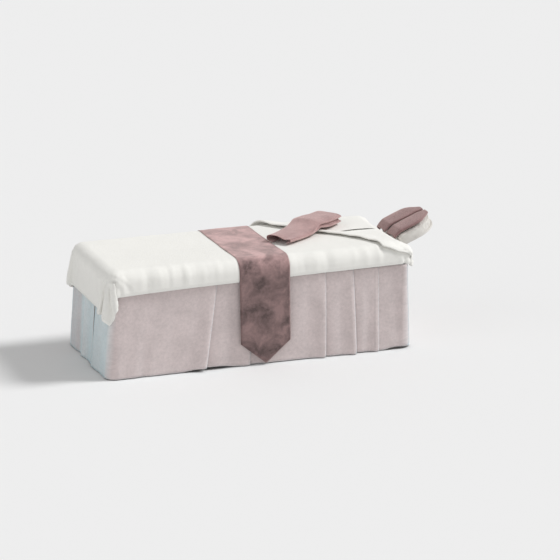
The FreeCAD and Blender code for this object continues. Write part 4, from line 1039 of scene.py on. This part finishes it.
def swollen(form, voxel, pressure, most, floor_at):
    """The form blown up a little as a filled pad is, with no point moving further than it may."""
    pad = bpy.data.objects.new("swelling", form)
    scene.collection.objects.link(pad)
    remesh = pad.modifiers.new("remesh", "REMESH")
    remesh.mode, remesh.voxel_size = "VOXEL", voxel
    even = bpy.data.meshes.new_from_object(pad.evaluated_get(bpy.context.evaluated_depsgraph_get()))
    pad.modifiers.clear()
    pad.data = even
    start = np.array([vertex.co for vertex in even.vertices])
    end = start
    cloth = pad.modifiers.new("cloth", "CLOTH")
    cloth.settings.use_pressure = True
    cloth.settings.uniform_pressure_force = pressure
    cloth.settings.effector_weights.gravity = 0.0
    cloth.collision_settings.use_collision = False
    for step in range(1, 21):
        scene.frame_set(step)
    blown = pad.evaluated_get(bpy.context.evaluated_depsgraph_get()).to_mesh()
    end = np.array([vertex.co for vertex in blown.vertices])
    scene.frame_set(1)
    moved = end - start
    far = np.linalg.norm(moved, axis=1, keepdims=True)
    end = start + moved * np.minimum(1.0, most / np.maximum(far, 1e-9))
    low = (end - np.array(pivot)) @ np.array(tilt_up)
    end += np.outer(np.maximum(floor_at - low, 0.0), np.array(tilt_up))
    even.vertices.foreach_set("co", end.ravel())
    bpy.data.objects.remove(pad)
    return even


cushion_mesh = swollen(pad_mesh(), 0.006, 4.0, 0.008, 0.0195)
cushion_mesh.shade_smooth()
cushion = bpy.data.objects.new("headrest_cushion_pad", cushion_mesh)
scene.collection.objects.link(cushion)
softer = cushion.modifiers.new("softer", "SUBSURF")
softer.levels = softer.render_levels = 1
pad_vinyl = Finish("pad_vinyl", Specular_IOR_Level=0.35, Sheen_Weight=0.08)
pad_grain = pad_vinyl.node("ShaderNodeTexVoronoi", {"feature": "DISTANCE_TO_EDGE"},
                           {"Vector": pad_vinyl.place(), "Scale": 520.0})
pad_crease = pad_vinyl.noise(pad_vinyl.place(), 11.0, 3.0, 0.5, 0.8)
cushion_mesh.materials.clear()
cushion_mesh.materials.append(pad_vinyl.done(
    Base_Color=pad_vinyl.ramp(pad_crease, [(0.35, (0.65, 0.625, 0.585)), (0.65, (0.72, 0.695, 0.655))]),
    Roughness=pad_crease * 0.15 + 0.50,
    Normal=pad_vinyl.relief(pad_grain, 0.0005, pad_vinyl.relief(pad_crease, 0.0020))))
dress("headrest_board", cushion_mesh.materials[0])
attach(cushion, "headrest")
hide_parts("headrest_cushion")



# The piped seam is a cord of the same vinyl, swept round the pad's upper outline.
class Recipe:
    """A Geometry Nodes tree that turns a drawn line into a finished mesh, with named inputs for its sizes."""

    def __init__(self, name, material, **sizes):
        self.tree = bpy.data.node_groups.new(name, "GeometryNodeTree")
        self.tree.interface.new_socket("Line", in_out="INPUT", socket_type="NodeSocketGeometry")
        self.sizes = {}
        for label, size in sizes.items():
            socket = self.tree.interface.new_socket(label, in_out="INPUT", socket_type="NodeSocketFloat")
            socket.default_value = size
            self.sizes[label] = socket.identifier
        self.tree.interface.new_socket("Made", in_out="OUTPUT", socket_type="NodeSocketGeometry")
        self.given = self.tree.nodes.new("NodeGroupInput")
        self.material = material

    def add(self, kind, settings=None, **inputs):
        made = self.tree.nodes.new(kind)
        for key, value in (settings or {}).items():
            setattr(made, key, value)
        for label, value in inputs.items():
            socket = made.inputs[label.replace("_", " ")]
            if isinstance(value, bpy.types.NodeSocket):
                self.tree.links.new(value, socket)
            else:
                socket.default_value = value
        return made.outputs[0]

    def size(self, label):
        return self.given.outputs[label]

    def finish(self, made):
        real = self.add("GeometryNodeRealizeInstances", Geometry=made)
        painted = self.add("GeometryNodeSetMaterial", Geometry=real, Material=self.material)
        out = self.tree.nodes.new("NodeGroupOutput")
        self.tree.links.new(painted, out.inputs["Made"])

    def make(self, name, lines, closed=False, **sizes):
        """A plain mesh made along the lines, each a list of points."""
        points, edges = [], []
        for line in lines:
            start = len(points)
            points += [tuple(point) for point in line]
            edges += [(start + k, start + k + 1) for k in range(len(line) - 1)]
            if closed:
                edges.append((len(points) - 1, start))
        drawn = bpy.data.meshes.new(name + "_line")
        drawn.from_pydata(points, edges, [])
        piece = bpy.data.objects.new(name, drawn)
        scene.collection.objects.link(piece)
        modifier = piece.modifiers.new("recipe", "NODES")
        modifier.node_group = self.tree
        for label, size in sizes.items():
            modifier[self.sizes[label]] = size
        made = bpy.data.meshes.new_from_object(piece.evaluated_get(bpy.context.evaluated_depsgraph_get()))
        piece.modifiers.clear()
        piece.data = made
        made.shade_smooth()
        return piece


piping = Recipe("piping", cushion_mesh.materials[0], Radius=0.0028)
piping_line = piping.add("GeometryNodeMeshToCurve", Mesh=piping.size("Line"))
piping_round = piping.add("GeometryNodeCurvePrimitiveCircle", Resolution=10, Radius=piping.size("Radius"))
piping.finish(piping.add("GeometryNodeCurveToMesh", Curve=piping_line, Profile_Curve=piping_round))
cushion_tree = tree_of(cushion)


def seam_round_pad(n):
    """The line where a seam runs round the swollen pad at a height above its board."""
    line = []
    hub = on_headrest(0.135, 0.0, n)
    for s, y in pad_outline(-0.02):
        far = on_headrest(s, y, n)
        hit = cushion_tree.ray_cast(far, (hub - far).normalized())[0]
        line.append(hit if hit else far)
    kept = [line[0]]
    for point in line[1:]:
        if (point - kept[-1]).length > 0.004:
            kept.append(point)
    return kept


pad_piping = piping.make("headrest_piping", [seam_round_pad(0.0765)], closed=True)
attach(pad_piping, "headrest")

# ---- Headrest towel ----
# A second rose towel, folded in from both sides to meet along the middle, lying over the cushion. Its
# outer end narrows where it is drawn together, and its inner end droops over the cushion's edge.


head_rose = velvet("head_rose", (0.175, 0.092, 0.090), (0.325, 0.188, 0.183), (1.0, 0.78, 0.76), 0.8, 9.0,
                   0.45, nap=0.0014, sheen_rough=0.6, blur=0.115)


def gate_fold(side):
    """One half of the folded towel, from the inner edge of the cushion to its outer end."""
    made, levels = [], []
    for row in range(46):
        share = row / 45
        s = -0.010 + share * 0.284
        outer = float(np.interp(s, [-0.01, 0.05, 0.17, 0.20, 0.235, 0.274],
                                [0.150, 0.158, 0.158, 0.146, 0.112, 0.068]))
        inner = 0.0095 + 0.004 * drift(s * 20.0, side, 3.0)
        half = (outer - inner) / 2
        tall = float(np.interp(share, [0, 0.2, 0.8, 1.0], [0.027, 0.029, 0.028, 0.023]))
        hit = cushion_tree.ray_cast(on_headrest(s, side * (inner + half), 0.25), -tilt_up)[0]
        base = 0.0900 if hit is None else (hit - pivot).dot(tilt_up) + 0.0020
        lowered = 0.020 * min(1.0, max(0.0, 1 - (s + 0.01) / 0.06)) ** 2
        levels.append(max(base if s > 0.03 else 0.0, 0.0915 - lowered))
        made.append((s, side * (inner + half), half, tall))
    eased = np.array(levels)
    for _ in range(12):
        eased[1:-1] = np.maximum((eased[:-2] + 2 * eased[1:-1] + eased[2:]) / 4, np.array(levels)[1:-1])
    return [(on_headrest(s, y, float(level)), (0, 1, 0), tilt_up, half, half, tall, 0.0)
            for (s, y, half, tall), level in zip(made, eased)]


for side, name in ((-1, "near"), (1, "far")):
    half_towel = towel_roll("headrest_towel_" + name, gate_fold(side), 1.55, 0.0036, head_rose, 0.01,
                            40.0 + side)
    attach(half_towel, "headrest")
    if side < 0:
        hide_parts("headrest_towel")

# ---- Hem stitching ----
# Cotton thread in single raised stitches. One line of them holds the turned hem of the duvet all round, and
# another the runner's.


def stitching(name, material):
    """A recipe for a row of short raised stitches along a line."""
    recipe = Recipe(name, material, Spacing=0.006, Length=0.0036, Width=0.0009)
    line = recipe.add("GeometryNodeMeshToCurve", Mesh=recipe.size("Line"))
    spots = recipe.add("GeometryNodeResampleCurve", {"mode": "LENGTH"}, Curve=line,
                       Length=recipe.size("Spacing"))
    bead = recipe.add("GeometryNodeMeshUVSphere", Segments=6, Rings=4, Radius=0.5)
    way = recipe.add("GeometryNodeInputTangent")
    lie = recipe.add("FunctionNodeAlignEulerToVector", {"axis": "X"}, Vector=way)
    shape = recipe.add("ShaderNodeCombineXYZ", X=recipe.size("Length"), Y=recipe.size("Width"),
                       Z=recipe.size("Width"))
    recipe.finish(recipe.add("GeometryNodeInstanceOnPoints", Points=spots, Instance=bead, Rotation=lie,
                             Scale=shape))
    return recipe


def thread(name, colour):
    cotton = Finish(name, Specular_IOR_Level=0.2)
    twist = cotton.noise(cotton.place(), 1500.0, 2.0)
    dim = tuple(0.75 * part for part in colour)
    return cotton.done(Base_Color=cotton.ramp(twist, [(0.3, dim), (0.7, colour)]),
                       Roughness=twist * 0.1 + 0.75, Normal=cotton.relief(twist, 0.0003))


hem_in = 0.018
white_stitches = stitching("white_stitches", thread("white_thread", (0.84, 0.82, 0.77)))
rose_stitches = stitching("rose_stitches", thread("rose_thread", (0.30, 0.17, 0.17)))
duvet_skin = duvet_thick / 2 + 0.0002
hem_foot, hem_head, hem_half = duvet_foot + hem_in, duvet_head - hem_in, duvet_half - hem_in
duvet_hems = [[on_duvet(a, side * hem_half, duvet_skin) for a in np.linspace(hem_foot, hem_head, 300)]
              for side in (-1, 1)]
duvet_hems += [[on_duvet(a, b, duvet_skin) for b in np.linspace(-hem_half, hem_half, 160)]
               for a in (hem_foot, hem_head)]
duvet_stitches = white_stitches.make("duvet_stitches", duvet_hems)
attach(duvet_stitches, "bed")

runner_ways = vertex_normals(runner_places.reshape(-1, 3), runner_faces).reshape(runner_places.shape)
runner_skin = runner_places + runner_ways * (runner_thick / 2 + 0.0002)
runner_hems = [list(runner_skin[column, 1:-1]) for column in (1, -2)]
runner_hems += [list(runner_skin[1:-1, step]) for step in (2, -3)]
runner_stitches = rose_stitches.make("runner_stitches", runner_hems, Spacing=0.007)
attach(runner_stitches, "bed")
